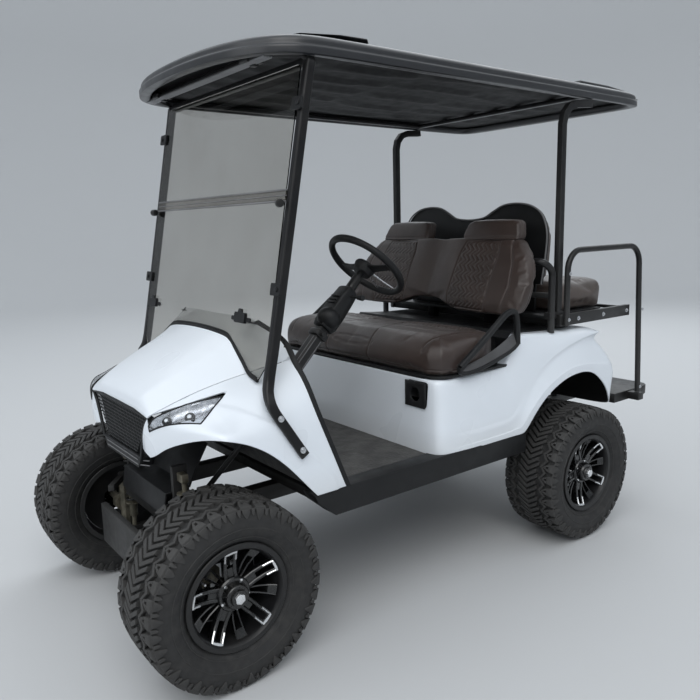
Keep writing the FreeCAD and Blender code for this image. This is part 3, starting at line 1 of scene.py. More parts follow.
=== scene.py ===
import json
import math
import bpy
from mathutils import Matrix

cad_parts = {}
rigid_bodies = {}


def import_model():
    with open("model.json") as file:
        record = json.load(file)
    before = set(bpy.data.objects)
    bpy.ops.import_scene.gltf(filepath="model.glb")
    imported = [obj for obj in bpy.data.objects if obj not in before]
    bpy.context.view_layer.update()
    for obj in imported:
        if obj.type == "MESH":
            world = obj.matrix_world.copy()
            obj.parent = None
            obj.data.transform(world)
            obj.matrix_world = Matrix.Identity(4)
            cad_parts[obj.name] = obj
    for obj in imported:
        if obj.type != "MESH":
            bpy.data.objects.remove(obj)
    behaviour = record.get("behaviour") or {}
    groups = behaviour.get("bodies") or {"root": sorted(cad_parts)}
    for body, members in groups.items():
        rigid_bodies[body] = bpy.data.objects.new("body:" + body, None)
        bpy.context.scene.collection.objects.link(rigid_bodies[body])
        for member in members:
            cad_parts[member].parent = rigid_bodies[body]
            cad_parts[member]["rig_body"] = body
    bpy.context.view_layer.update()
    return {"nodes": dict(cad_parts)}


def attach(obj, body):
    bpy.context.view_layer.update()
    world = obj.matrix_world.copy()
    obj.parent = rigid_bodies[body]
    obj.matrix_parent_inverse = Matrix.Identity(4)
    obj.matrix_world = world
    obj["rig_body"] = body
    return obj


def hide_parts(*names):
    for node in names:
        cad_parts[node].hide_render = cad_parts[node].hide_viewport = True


bl_info = {
    "name": "Lifted golf cart",
    "version": (1, 0, 0),
    "blender": (4, 5, 0),
    "location": "View3D > Sidebar > Cart",
    "description": "Dresses the packed golf cart with its panels, seats, wheels and finishes",
    "category": "Add Mesh",
}

import bmesh
import bpy
from bpy.props import FloatProperty, FloatVectorProperty, IntProperty, PointerProperty
from mathutils import Matrix, Vector

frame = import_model()
BODY = "cart"
FRONT_AXLE = 1.057
REAR_AXLE = -0.607
TYRE_R = 0.290
DRIVER_Y = 0.254
MM = 0.001


def fa(x, y, z):
    """A point from millimetres, with x measured forward from the front axle."""
    return Vector((FRONT_AXLE + x * MM, y * MM, z * MM))


def ra(x, y, z):
    """A point from millimetres, with x measured forward from the rear axle."""
    return Vector((REAR_AXLE + x * MM, y * MM, z * MM))


# Settings a user would change

class CartColours(bpy.types.PropertyGroup):
    paint: FloatVectorProperty(name="Paint", description="Colour of the hood, fenders and rear body",
                               subtype="COLOR", size=3, default=(0.80, 0.85, 0.91), min=0, max=1)
    leather: FloatVectorProperty(name="Front seat", description="Colour of the front seat's leather",
                                 subtype="COLOR", size=3, default=(0.036, 0.023, 0.019), min=0, max=1)
    rear_leather: FloatVectorProperty(name="Rear seat", description="Colour of the rear seat's leather",
                                      subtype="COLOR", size=3, default=(0.078, 0.060, 0.052), min=0, max=1)
    plastic: FloatVectorProperty(name="Moulded plastic", description="Colour of the black moulded parts",
                                 subtype="COLOR", size=3, default=(0.012, 0.0125, 0.0135), min=0, max=1)
    roof: FloatVectorProperty(name="Roof", description="Colour of the roof",
                              subtype="COLOR", size=3, default=(0.014, 0.015, 0.018), min=0, max=1)
    rubber: FloatVectorProperty(name="Tyres", description="Colour of the tyre rubber",
                                subtype="COLOR", size=3, default=(0.015, 0.015, 0.0155), min=0, max=1)


class CartSizes(bpy.types.PropertyGroup):
    panel: FloatProperty(name="Panel thickness", description="Wall of the painted panels",
                         default=0.005, min=0.002, max=0.02, unit="LENGTH")
    pitches: IntProperty(name="Tread pitches", description="How often the tread pattern repeats round a tyre",
                         default=36, min=12, max=48)
    smooth: IntProperty(name="Panel smoothing", description="Subdivision level of the painted panels",
                        default=3, min=1, max=4)


def colours():
    return bpy.context.scene.cart_colours


def sizes():
    return bpy.context.scene.cart_sizes


# Finishes

class Finish:
    """A procedural material that reads Object coordinates."""

    def __init__(self, name):
        self.material = bpy.data.materials.new(name)
        self.material.use_nodes = True
        self.tree = self.material.node_tree
        self.tree.nodes.clear()
        self.out = self.node("ShaderNodeOutputMaterial")
        self.shader = self.node("ShaderNodeBsdfPrincipled")
        self.tree.links.new(self.shader.outputs[0], self.out.inputs[0])
        self.coords = self.node("ShaderNodeTexCoord")
        self.normal = None

    def node(self, kind, **settings):
        made = self.tree.nodes.new(kind)
        for key, value in settings.items():
            setattr(made, key, value)
        return made

    def put(self, node, **inputs):
        for key, value in inputs.items():
            socket = node.inputs[key.replace("_", " ")]
            if isinstance(value, bpy.types.NodeSocket):
                self.tree.links.new(value, socket)
            else:
                socket.default_value = value
        return node

    def where(self, scale=(1, 1, 1), turn=(0, 0, 0), uv=False):
        mapping = self.node("ShaderNodeMapping")
        mapping.inputs["Scale"].default_value = scale
        mapping.inputs["Rotation"].default_value = turn
        self.tree.links.new(self.coords.outputs["UV" if uv else "Object"], mapping.inputs[0])
        return mapping.outputs[0]

    def noise(self, scale, detail=3.0, roughness=0.5, vector=None):
        made = self.node("ShaderNodeTexNoise")
        self.put(made, Scale=scale, Detail=detail, Roughness=roughness)
        self.tree.links.new(vector or self.coords.outputs["Object"], made.inputs["Vector"])
        return made.outputs["Fac"]

    def cells(self, scale, feature="F1", vector=None):
        made = self.node("ShaderNodeTexVoronoi", feature=feature)
        self.put(made, Scale=scale)
        self.tree.links.new(vector or self.coords.outputs["Object"], made.inputs["Vector"])
        return made.outputs["Distance"]

    def ramp(self, value, low, high, start=0.0, end=1.0):
        made = self.node("ShaderNodeMapRange")
        self.tree.links.new(value, made.inputs["Value"])
        for key, number in (("From Min", low), ("From Max", high), ("To Min", start), ("To Max", end)):
            made.inputs[key].default_value = number
        return made.outputs[0]

    def blend(self, factor, one, two):
        made = self.node("ShaderNodeMix", data_type="RGBA")
        self.tree.links.new(factor, made.inputs[0])
        for index, colour in ((6, one), (7, two)):
            if isinstance(colour, bpy.types.NodeSocket):
                self.tree.links.new(colour, made.inputs[index])
            else:
                made.inputs[index].default_value = (*colour, 1)
        return made.outputs[2]

    def bump(self, height, strength, distance):
        made = self.node("ShaderNodeBump")
        self.put(made, Strength=strength, Distance=distance)
        self.tree.links.new(height, made.inputs["Height"])
        if self.normal:
            self.tree.links.new(self.normal, made.inputs["Normal"])
        self.normal = made.outputs[0]
        self.tree.links.new(self.normal, self.shader.inputs["Normal"])
        return self

    def set(self, **inputs):
        self.put(self.shader, **inputs)
        return self


def darker(colour, share):
    return tuple(c * share for c in colour)


def moulded(name, colour, rough, grain_scale, grain, patch=0.25):
    """Grained plastic or rubber, a little uneven in tone."""
    f = Finish(name)
    tone = f.blend(f.ramp(f.noise(6, 4), 0.3, 0.7), darker(colour, 1 - patch), darker(colour, 1 + patch))
    f.set(Base_Color=tone, Roughness=f.ramp(f.noise(22, 4), 0.3, 0.7, rough - 0.06, rough + 0.06),
          Specular_IOR_Level=0.3)
    f.bump(f.cells(grain_scale), grain, 0.0006)
    return f.material


def coated_metal(name, colour, rough):
    """Powder-coated tube, with a fine orange peel and paler rubbed edges."""
    f = Finish(name)
    geometry = f.node("ShaderNodeNewGeometry")
    rub = f.ramp(geometry.outputs["Pointiness"], 0.52, 0.62)
    dust = f.blend(f.ramp(f.noise(9, 5), 0.45, 0.75, 0, 0.3), colour, (0.04, 0.038, 0.035))
    f.set(Base_Color=f.blend(rub, dust, (0.045, 0.045, 0.045)), Metallic=0.15,
          Roughness=f.ramp(f.noise(30, 3), 0.3, 0.7, rough - 0.05, rough + 0.08), Specular_IOR_Level=0.3)
    f.bump(f.noise(260, 2), 0.08, 0.0004)
    return f.material


def make_finishes():
    c = colours()
    made = {}
    f = Finish("pearl_paint")
    tone = f.blend(f.ramp(f.noise(1.6, 2), 0.3, 0.7), tuple(c.paint), darker(tuple(c.paint), 0.965))
    # the paint turns greyer towards the bottom of the panels, from 0.62 m down to 0.50 m
    paint_height = f.node("ShaderNodeSeparateXYZ")
    f.tree.links.new(f.coords.outputs["Object"], paint_height.inputs[0])
    low = f.ramp(paint_height.outputs["Z"], 0.62, 0.50, 0, 0.35)
    f.set(Base_Color=f.blend(low, tone, (0.56, 0.56, 0.54)),
          Roughness=f.ramp(f.noise(5, 1), 0.3, 0.7, 0.27, 0.31),
          Coat_Weight=0.55, Coat_Roughness=0.10, Specular_IOR_Level=0.5)
    made["paint"] = f.material
    f = Finish("satin_roof")
    f.set(Base_Color=f.blend(f.ramp(f.noise(3, 3), 0.3, 0.7), darker(tuple(c.roof), 0.93),
                             darker(tuple(c.roof), 1.07)),
          Roughness=f.ramp(f.noise(14, 4), 0.3, 0.7, 0.30, 0.42), Coat_Weight=0.25, Coat_Roughness=0.25)
    f.bump(f.cells(420), 0.10, 0.0004)
    made["roof"] = f.material
    made["plastic"] = moulded("moulded_plastic", tuple(c.plastic), 0.48, 520, 0.22)
    made["trim"] = moulded("edge_trim", darker(tuple(c.plastic), 0.8), 0.55, 700, 0.15)
    made["under"] = moulded("roof_underside", darker(tuple(c.plastic), 0.4), 0.7, 300, 0.15)
    made["shell"] = moulded("seat_shell", darker(tuple(c.plastic), 0.6), 0.40, 380, 0.18)
    made["edge_grey"] = moulded("edge_grey", (0.16, 0.16, 0.165), 0.5, 600, 0.15)
    made["hip_grey"] = moulded("hip_grey", (0.075, 0.075, 0.078), 0.5, 500, 0.2)
    made["grip"] = moulded("soft_grip", darker(tuple(c.plastic), 0.9), 0.55, 900, 0.25)
    made["tube"] = coated_metal("powder_coat", (0.010, 0.010, 0.011), 0.34)
    made["frame"] = coated_metal("chassis_paint", (0.013, 0.0125, 0.012), 0.5)
    f = Finish("brushed_steel")
    streak = f.noise(60, 4, vector=f.where((1, 14, 1)))
    f.set(Base_Color=(0.62, 0.63, 0.65, 1), Metallic=1.0, Roughness=f.ramp(streak, 0.3, 0.7, 0.22, 0.38))
    f.bump(streak, 0.05, 0.0003)
    made["steel"] = f.material
    f = Finish("machined_alloy")
    turned = f.noise(160, 2, vector=f.where((1, 6, 1)))
    f.set(Base_Color=(0.86, 0.87, 0.88, 1), Metallic=1.0, Roughness=f.ramp(turned, 0.3, 0.7, 0.16, 0.30))
    made["machined"] = f.material
    f = Finish("black_alloy")
    f.set(Base_Color=f.blend(f.ramp(f.noise(18, 4), 0.4, 0.75), (0.006, 0.0065, 0.007), (0.014, 0.0135, 0.013)),
          Metallic=0.2, Roughness=f.ramp(f.noise(30, 3), 0.3, 0.7, 0.20, 0.34), Coat_Weight=0.6,
          Coat_Roughness=0.12)
    made["alloy"] = f.material
    f = Finish("tyre_rubber")
    spread = f.noise(34, 6)
    geometry = f.node("ShaderNodeNewGeometry")
    edge = f.ramp(geometry.outputs["Pointiness"], 0.50, 0.60)
    dust = f.blend(f.ramp(spread, 0.45, 0.70), tuple(c.rubber), (0.027, 0.026, 0.025))
    f.set(Base_Color=f.blend(edge, dust, (0.040, 0.039, 0.038)),
          Roughness=f.ramp(f.noise(50, 4), 0.3, 0.7, 0.62, 0.80))
    f.bump(f.noise(240, 4), 0.18, 0.0008)
    made["tyre"] = f.material
    for key, base in (("leather", tuple(c.leather)), ("rear_leather", tuple(c.rear_leather))):
        f = Finish(key)
        mottle = f.ramp(f.noise(7, 5, 0.6), 0.3, 0.7)
        f.set(Base_Color=f.blend(mottle, darker(base, 0.78), darker(base, 1.22)),
              Roughness=f.ramp(f.noise(26, 4), 0.3, 0.7, 0.36, 0.50), Specular_IOR_Level=0.55,
              Sheen_Weight=0.08)
        f.bump(f.noise(28, 5, 0.6), 0.14, 0.003)
        f.bump(f.cells(640, "DISTANCE_TO_EDGE"), 0.22, 0.0005)
        made[key] = f.material
    f = Finish("tinted_pane")
    f.set(Base_Color=f.blend(f.ramp(f.noise(3, 3), 0.35, 0.7), (0.60, 0.585, 0.55), (0.66, 0.645, 0.61)),
          Roughness=0.02,
          IOR=1.25, Transmission_Weight=1.0, Specular_IOR_Level=0.5)
    made["glass"] = f.material
    f = Finish("aluminium_rail")
    f.set(Base_Color=f.blend(f.ramp(f.noise(12, 3), 0.3, 0.7), (0.30, 0.30, 0.31), (0.38, 0.38, 0.39)),
          Roughness=0.42, Metallic=0.6)
    made["rail"] = f.material
    f = Finish("fold_strip")
    f.set(Base_Color=f.blend(f.ramp(f.noise(3, 3), 0.35, 0.7), (0.30, 0.285, 0.26), (0.36, 0.34, 0.31)),
          Roughness=0.06,
          IOR=1.3, Transmission_Weight=0.9)
    made["strip"] = f.material
    f = Finish("lamp_lens")
    f.set(Base_Color=(0.93, 0.95, 0.97, 1), Roughness=f.ramp(f.noise(90, 2), 0.3, 0.7, 0.03, 0.07), IOR=1.35,
          Transmission_Weight=1.0)
    made["lens"] = f.material
    f = Finish("lamp_reflector")
    flutes = f.cells(34, vector=f.where((1, 3, 0.6)))
    f.set(Base_Color=f.blend(f.ramp(flutes, 0.1, 0.6), (0.93, 0.93, 0.95), (0.66, 0.67, 0.70)), Metallic=0.75,
          Roughness=0.22)
    f.bump(flutes, 0.22, 0.004)
    made["reflector"] = f.material
    f = Finish("red_lens")
    f.set(Base_Color=f.blend(f.ramp(f.cells(160), 0.1, 0.6), (0.50, 0.012, 0.012), (0.25, 0.006, 0.006)),
          Roughness=0.12, Coat_Weight=0.8)
    f.bump(f.cells(160), 0.4, 0.002)
    made["red"] = f.material
    f = Finish("floor_mat")
    pebbles = f.cells(110, vector=f.where((1, 1, 1), (0, 0, 0.5)))
    f.set(Base_Color=f.blend(f.ramp(f.noise(16, 5), 0.35, 0.7), (0.045, 0.044, 0.043), (0.085, 0.083, 0.080)),
          Roughness=f.ramp(f.noise(30, 4), 0.3, 0.7, 0.6, 0.8))
    f.bump(pebbles, 0.65, 0.003)
    made["mat"] = f.material
    f = Finish("dusty_drum")
    f.set(Base_Color=f.blend(f.ramp(f.noise(40, 6), 0.4, 0.65), (0.075, 0.070, 0.052), (0.16, 0.145, 0.11)),
          Metallic=0.4, Roughness=f.ramp(f.noise(60, 4), 0.3, 0.7, 0.5, 0.75))
    f.bump(f.noise(120, 4), 0.4, 0.001)
    made["drum"] = f.material
    f = Finish("battery_case")
    f.set(Base_Color=f.blend(f.ramp(f.noise(8, 4), 0.4, 0.7), (0.03, 0.03, 0.032), (0.06, 0.06, 0.058)),
          Roughness=0.6)
    f.bump(f.cells(300), 0.2, 0.0006)
    made["case"] = f.material
    return made


MADE = {}


def finish(key):
    if not MADE:
        MADE.update(make_finishes())
    return MADE[key]


# Making and placing pieces

def grid_skin(bm, rows, creases=None, corners=()):
    """A sheet of quads whose corners are rows of points; creases are columns kept sharp when smoothed."""
    sharp = bm.edges.layers.float.get("crease_edge") or bm.edges.layers.float.new("crease_edge")
    pointed = bm.verts.layers.float.get("crease_vert") or bm.verts.layers.float.new("crease_vert")
    across, along = len(rows[0]), len(rows)
    table = {}
    for v in bmesh.ops.create_grid(bm, x_segments=across - 1, y_segments=along - 1, size=1.0)["verts"]:
        i = round((v.co.x + 1) / 2 * (across - 1))
        j = round((v.co.y + 1) / 2 * (along - 1))
        table[j, i] = v
        v.co = rows[j][i]
    for column, value in (creases or {}).items():
        for j in range(along - 1):
            bm.edges.get((table[j, column], table[j + 1, column]))[sharp] = value
    for corner in corners:
        table[corner][pointed] = 1.0


def outwards(bm):
    """Turn every face of a mesh outwards."""
    bmesh.ops.recalc_face_normals(bm, faces=bm.faces[:])


def loft(bm, rings):
    """Walls between rings of corners, and a face over each end."""
    for one, two in zip(rings, rings[1:]):
        for k in range(len(one)):
            bm.faces.new((one[k - 1], one[k], two[k], two[k - 1]))
    bm.faces.new(rings[0])
    bm.faces.new(rings[-1])


def all_of(bm):
    return bm.verts[:] + bm.edges[:] + bm.faces[:]


def mirror_y(bm, gap=0.0001):
    bmesh.ops.mirror(bm, geom=all_of(bm), matrix=Matrix(), merge_dist=gap, axis="Y")


def place(bm, name, material, body=BODY, replaces=(), angle=38, tidy=True):
    """A bmesh made into a piece that rides on a body."""
    if tidy:
        bmesh.ops.remove_doubles(bm, verts=bm.verts[:], dist=0.00002)
        outwards(bm)
    mesh = bpy.data.meshes.new(name)
    bm.to_mesh(mesh)
    bm.free()
    piece = bpy.data.objects.new(name, mesh)
    bpy.context.scene.collection.objects.link(piece)
    for key in ([material] if isinstance(material, str) else material):
        mesh.materials.append(finish(key))
    mesh.shade_smooth()
    mesh.set_sharp_from_angle(angle=math.radians(angle))
    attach(piece, body)
    if replaces:
        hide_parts(*replaces)
    return piece


def modifier(piece, kind, **settings):
    made = piece.modifiers.new(kind.title(), kind)
    for key, value in settings.items():
        setattr(made, key, value)
    return made


def soften(piece, width, segments, angle):
    """Round every edge that is sharper than an angle in degrees."""
    modifier(piece, "BEVEL", width=width, segments=segments, limit_method="ANGLE",
             angle_limit=math.radians(angle))


def settle(piece, angle=None):
    """Apply every modifier on a piece."""
    depsgraph = bpy.context.evaluated_depsgraph_get()
    depsgraph.update()
    mesh = bpy.data.meshes.new_from_object(piece.evaluated_get(depsgraph), depsgraph=depsgraph)
    piece.modifiers.clear()
    old = piece.data
    piece.data = mesh
    bpy.data.meshes.remove(old)
    if angle is not None:
        mesh.shade_smooth()
        mesh.set_sharp_from_angle(angle=math.radians(angle))
    return piece


def shell_of(piece, level, wall, edge=0.0012):
    """Smooth a sheet and give it a wall with rounded rims."""
    modifier(piece, "SUBSURF", levels=level, render_levels=level)
    modifier(piece, "SOLIDIFY", thickness=wall, offset=-1.0, use_even_offset=True)
    if edge:
        soften(piece, edge, 2, 60)
    return settle(piece, 40)


def rounded_block(bm, low, high, radius, segments=3):
    """A box between two corners with rounded edges."""
    low, high = Vector(low), Vector(high)
    made = bmesh.ops.create_cube(bm, size=1.0)["verts"]
    for v in made:
        v.co = Vector([low[i] + (v.co[i] + 0.5) * (high[i] - low[i]) for i in range(3)])
    edges = list({e for v in made for e in v.link_edges})
    bmesh.ops.bevel(bm, geom=edges, offset=radius, offset_type="OFFSET", segments=segments, profile=0.5,
                    affect="EDGES", clamp_overlap=True, material=-1)


def turned(axis):
    return Vector(axis).normalized().to_track_quat("Z", "Y").to_matrix().to_4x4()


def disc(bm, centre, axis, radius, depth, sides=24, top=None, bevel=0.0):
    """A round plug whose middle is at centre and which stands along axis."""
    made = bmesh.ops.create_cone(bm, cap_ends=True, segments=sides, radius1=radius, radius2=top or radius,
                                 depth=depth,
                                 matrix=Matrix.Translation(Vector(centre)) @ turned(axis))["verts"]
    if bevel:
        faces = {f for v in made for f in v.link_faces if len(f.verts) > 4}
        edges = list({e for f in faces for e in f.edges})
        bmesh.ops.bevel(bm, geom=edges, offset=bevel, offset_type="OFFSET", segments=2, profile=0.5,
                        affect="EDGES",
                        clamp_overlap=True, material=-1)


def bolt(bm, at, axis, size=0.007):
    """A round washer with a domed hexagonal head."""
    axis = Vector(axis).normalized()
    disc(bm, Vector(at) + axis * size * 0.15, axis, size * 1.5, size * 0.3, 20, bevel=size * 0.08)
    disc(bm, Vector(at) + axis * size * 0.65, axis, size, size * 0.8, 6, top=size * 0.9, bevel=size * 0.1)


def rounded_line(points, bend, steps=8):
    """The points of a bent line, with an arc of the bend radius at each corner."""
    points = [Vector(p) for p in points]
    line = [points[0]]
    for before, here, after in zip(points, points[1:], points[2:]):
        one, two = (before - here).normalized(), (after - here).normalized()
        turn = one.angle(two)
        back = min(bend / math.tan(turn / 2), 0.49 * (before - here).length, 0.49 * (after - here).length)
        radius = back * math.tan(turn / 2)
        centre = here + (one + two).normalized() * (radius / math.sin(turn / 2))
        a, b = here + one * back - centre, here + two * back - centre
        swing = math.pi - turn
        for k in range(steps + 1):
            t = k / steps
            line.append(centre + (a * math.sin((1 - t) * swing) + b * math.sin(t * swing)) / math.sin(swing))
    return line + [points[-1]]


def tube(name, points, bend, radius, material="tube", body=BODY, replaces=(),
         mirror=False, closed=False, sides=6):
    """A round tube bent to a radius at each point, or along every point as it is, or a pair of them."""
    lines = [rounded_line(points, bend) if bend and not closed else [Vector(p) for p in points]]
    if mirror:
        lines.append([Vector((p.x, -p.y, p.z)) for p in lines[0]])
    curve = bpy.data.curves.new(name + "_line", "CURVE")
    curve.dimensions = "3D"
    curve.bevel_depth = radius
    curve.bevel_resolution = sides
    curve.use_fill_caps = True
    for line in lines:
        spline = curve.splines.new("POLY")
        spline.points.add(len(line) - 1)
        for point, p in zip(spline.points, line):
            point.co = (*p, 1)
        spline.use_cyclic_u = closed
    temp = bpy.data.objects.new(name + "_temp", curve)
    bpy.context.scene.collection.objects.link(temp)
    depsgraph = bpy.context.evaluated_depsgraph_get()
    mesh = bpy.data.meshes.new_from_object(temp.evaluated_get(depsgraph), depsgraph=depsgraph)
    bpy.data.objects.remove(temp)
    bm = bmesh.new()
    bm.from_mesh(mesh)
    bpy.data.meshes.remove(mesh)
    return place(bm, name, material, body, replaces, 50)


def cut(piece, cutters, mode="DIFFERENCE"):
    """Cut a piece with one or more blocks, which are used up."""
    for block in cutters:
        modifier(piece, "BOOLEAN", operation=mode, object=block, solver="EXACT")
    settle(piece)
    for block in cutters:
        bpy.data.objects.remove(block)
    return piece


def block_object(bm, name="cutter"):
    outwards(bm)
    mesh = bpy.data.meshes.new(name)
    bm.to_mesh(mesh)
    bm.free()
    made = bpy.data.objects.new(name, mesh)
    bpy.context.scene.collection.objects.link(made)
    return made


def outline_face(bm, points):
    """One face through a few corners."""
    return bm.faces.new([bm.verts.new(p) for p in points])


def push_out(bm, face, shift):
    """Extrude a face into a block."""
    made = bmesh.ops.extrude_face_region(bm, geom=[face])["geom"]
    bmesh.ops.translate(bm, vec=Vector(shift), verts=[g for g in made if isinstance(g, bmesh.types.BMVert)])


def lift_node(node):
    """A merged copy of a CAD node's mesh."""
    bm = bmesh.new()
    bm.from_mesh(frame["nodes"][node].data)
    bmesh.ops.remove_doubles(bm, verts=bm.verts[:], dist=0.00002)
    bmesh.ops.dissolve_limit(bm, angle_limit=math.radians(1.0), verts=bm.verts[:], edges=bm.edges[:])
    return bm


def eased_node(node, material, body=BODY, width=0.002, segments=2, angle=25, name=None):
    """A CAD node drawn again with its hard edges rounded."""
    piece = place(lift_node(node), name or node + "_eased", material, body, (node,), tidy=False)
    modifier(piece, "BEVEL", width=width, segments=segments, limit_method="ANGLE",
             angle_limit=math.radians(angle),
             harden_normals=False, use_clamp_overlap=True)
    return settle(piece, 40)


def flipped(piece, name, body=None):
    """The other side's copy of a piece."""
    mesh = piece.data.copy()
    mesh.transform(Matrix.Scale(-1, 4, (0, 1, 0)))
    mesh.flip_normals()
    made = bpy.data.objects.new(name, mesh)
    bpy.context.scene.collection.objects.link(made)
    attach(made, body or piece["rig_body"])
    return made


def flowing(points, steps=6, closed=False):
    """A soft line through its points."""
    points = [Vector(p) for p in points]
    count = len(points)
    line = []
    for i in range(count if closed else count - 1):
        if closed:
            a, b, c, d = (points[(i + k) % count] for k in (-1, 0, 1, 2))
        else:
            b, c = points[i], points[i + 1]
            a = points[i - 1] if i else b * 2 - c
            d = points[i + 2] if i + 2 < count else c * 2 - b
        for k in range(steps):
            t = k / steps
            square, cube = a * 2 - b * 5 + c * 4 - d, b * 3 - a - c * 3 + d
            line.append((b * 2 + (c - a) * t + square * t * t + cube * t ** 3) * 0.5)
    return line if closed else line + [points[-1]]


def sweep(bm, line, section, side):
    """A bar of one section along a line; side is roughly the way of the section's first number."""
    rings = []
    for i, p in enumerate(line):
        along = (line[min(i + 1, len(line) - 1)] - line[max(i - 1, 0)]).normalized()
        across = (Vector(side) - along * along.dot(Vector(side))).normalized()
        other = along.cross(across)
        rings.append([bm.verts.new(p + across * a + other * b) for a, b in section])
    loft(bm, rings)


def round_section(wide, deep, radius, steps=4):
    """The corners of a rounded rectangle."""
    ring = []
    for sx, sy, start in ((1, 1, 0), (-1, 1, 90), (-1, -1, 180), (1, -1, 270)):
        for k in range(steps + 1):
            a = math.radians(start + 90 * k / steps)
            ring.append((sx * (wide / 2 - radius) + radius * math.cos(a),
                         sy * (deep / 2 - radius) + radius * math.sin(a)))
    return ring


def eased(distance, radius):
    """How far a quarter-round edge has dropped at a distance from its rim."""
    return radius - math.sqrt(max(0.0, radius ** 2 - (radius - min(max(distance, 0), radius)) ** 2))


# Painted panels

SEAM = [(-321, 437, 948), (-264, 408, 930), (-189, 370, 910), (-124, 350, 893), (-56, 330, 873), (11, 310, 849),
        (76, 291, 820), (104, 276, 805), (108, 272, 801), (114, 268, 797)]
HOOD_ROWS = [
    [(-262, 0, 1069), (-262, 169, 1072), (-283, 285, 1060), (-316, 420, 1008)],
    [(-225, 0, 1040), (-225, 150, 1037), (-235, 262, 1032), (-262, 375, 1003)],
    [(-189, 0, 1012), (-189, 130, 1010), (-189, 235, 998), (-189, 310, 955)],
    [(-124, 0, 978), (-124, 125, 975), (-124, 232, 960), (-124, 300, 925)],
    [(-56, 0, 945), (-56, 120, 942), (-56, 226, 929), (-56, 285, 900)],
    [(11, 0, 910), (11, 115, 907), (11, 214, 897), (11, 265, 875)],
    [(76, 0, 872), (76, 108, 869), (76, 198, 861), (76, 245, 845)],
    [(104, 0, 846), (104, 98, 845), (104, 180, 842), (104, 230, 828)],
    [(110, 0, 830), (110, 94, 829), (110, 165, 827), (110, 220, 816)],
    [(113, 0, 814), (113, 90, 813), (113, 150, 812), (113, 208, 806)],
]
FENDER_ROWS = [
    [(-330, 500, 886), (-333, 550, 796), (-376, 566, 675), (-430, 577, 527)],
    [(-266, 490, 885), (-272, 549, 798), (-290, 567, 680), (-300, 577, 527)],
    [(-192, 470, 880), (-215, 546, 806), (-245, 566, 700), (-262, 575, 570)],
    [(-130, 455, 868), (-150, 545, 795), (-185, 562, 720), (-205, 571, 640)],
    [(-60, 440, 850), (-85, 545, 787), (-120, 558, 745), (-135, 567, 706)],
    [(0, 425, 830), (-30, 540, 788), (-45, 556, 772), (-55, 563, 750)],
    [(50, 392, 815), (25, 520, 790), (14, 549, 782), (10, 560, 768)],
    [(72, 375, 806), (50, 478, 788), (44, 498, 778), (42, 503, 764)],
    [(90, 352, 797), (78, 412, 783), (74, 426, 768), (72, 428, 742)],
    [(110, 302, 788), (98, 345, 770), (96, 352, 745), (95, 352, 712)],
    [(117, 240, 766), (118, 262, 752), (115, 290, 735), (110, 310, 715), (104, 318, 690)],
    [(116, 216, 722), (119, 240, 714), (118, 262, 704), (114, 282, 690), (110, 290, 674)],
    [(111, 204, 682), (114, 220, 678), (115, 238, 674), (114, 254, 670), (112, 264, 666)],
]
LAMP = [(114, 268, 796), (116, 282, 759), (34, 468, 811), (-92, 402, 870), (22, 352, 841)]
LAMP_AIM = Vector((0.5, 0.45, 0.74)).normalized()
GRILLE_EDGE = [(-264, 792), (-234, 760), (-213, 718), (-180, 640), (180, 640), (213, 718), (234, 760),
               (264, 792),
               (150, 800), (-150, 800)]


def hood_sheet():
    bm = bmesh.new()
    rows = []
    for row, (x, y, z) in zip(HOOD_ROWS, SEAM):
        rows.append([fa(*p) for p in row] + [fa(x, y - 1.6, z + 0.4)])
    lip = [fa(p[0] - 1, p[1] * 0.99, p[2] - 9) for p in HOOD_ROWS[-1]] + [fa(113, 264, 788)]
    grid_skin(bm, rows + [lip], creases={2: 0.45})
    mirror_y(bm)
    return bm


def fender_sheet():
    bm = bmesh.new()
    rows = []
    for row, (x, y, z) in zip(FENDER_ROWS, SEAM):
        rows.append([fa(x, y + 1.6, z - 0.4)] + [fa(*p) for p in row])
    rows += [[fa(*p) for p in row] for row in FENDER_ROWS[len(SEAM):]]
    grid_skin(bm, rows, corners=[(1, 4), (0, 4)])
    return bm


def raise_bead(piece):
    """A flat band round the wheel opening, a few millimetres proud of the fender."""
    edge = [fa(*row[-1]) for row in FENDER_ROWS[1:9]]
    for v in piece.data.vertices:
        far = path_distance((v.co.x, v.co.z), [(p.x, p.z) for p in edge], False)
        fade = min(max((FRONT_AXLE + 0.03 - v.co.x) / 0.06, 0), 1)
        step = min(max((0.092 - far) / 0.013, 0), 1)
        v.co.y += 0.0055 * fade * step * step * (3 - 2 * step)


def lamp_sides(grow):
    """The planes round the lamp, as points and outward directions."""
    corners = [fa(*p) for p in LAMP]
    middle = sum(corners, Vector()) / len(corners)
    sides = []
    for a, b in zip(corners, corners[1:] + corners[:1]):
        out = (b - a).cross(LAMP_AIM).normalized()
        if out.dot(a - middle) < 0:
            out = -out
        sides.append((a + out * grow, out))
    return sides


def lamp_patch(sheet, grow):
    """The part of the fender's skin that the lamp covers."""
    bm = bmesh.new()
    bm.from_mesh(sheet)
    middle = fa(20, 370, 820)
    bmesh.ops.delete(bm, geom=[f for f in bm.faces if (f.calc_center_median() - middle).length > 0.17],
                     context="FACES")
    for at, out in lamp_sides(grow):
        bmesh.ops.bisect_plane(bm, geom=all_of(bm), dist=0.00001, plane_co=at, plane_no=out, clear_outer=True)
    return bm


def lamp_block(grow):
    """A prism through the lamp's outline."""
    bm = bmesh.new()
    sides = lamp_sides(grow)
    corners = []
    for (p, n), (q, m) in zip(sides[-1:] + sides[:-1], sides):
        across = n.cross(LAMP_AIM)
        corners.append(p + across * ((q - p).dot(m) / across.dot(m)))
    face = outline_face(bm, [c - LAMP_AIM * 0.05 for c in corners])
    push_out(bm, face, LAMP_AIM * 0.10)
    return block_object(bm)


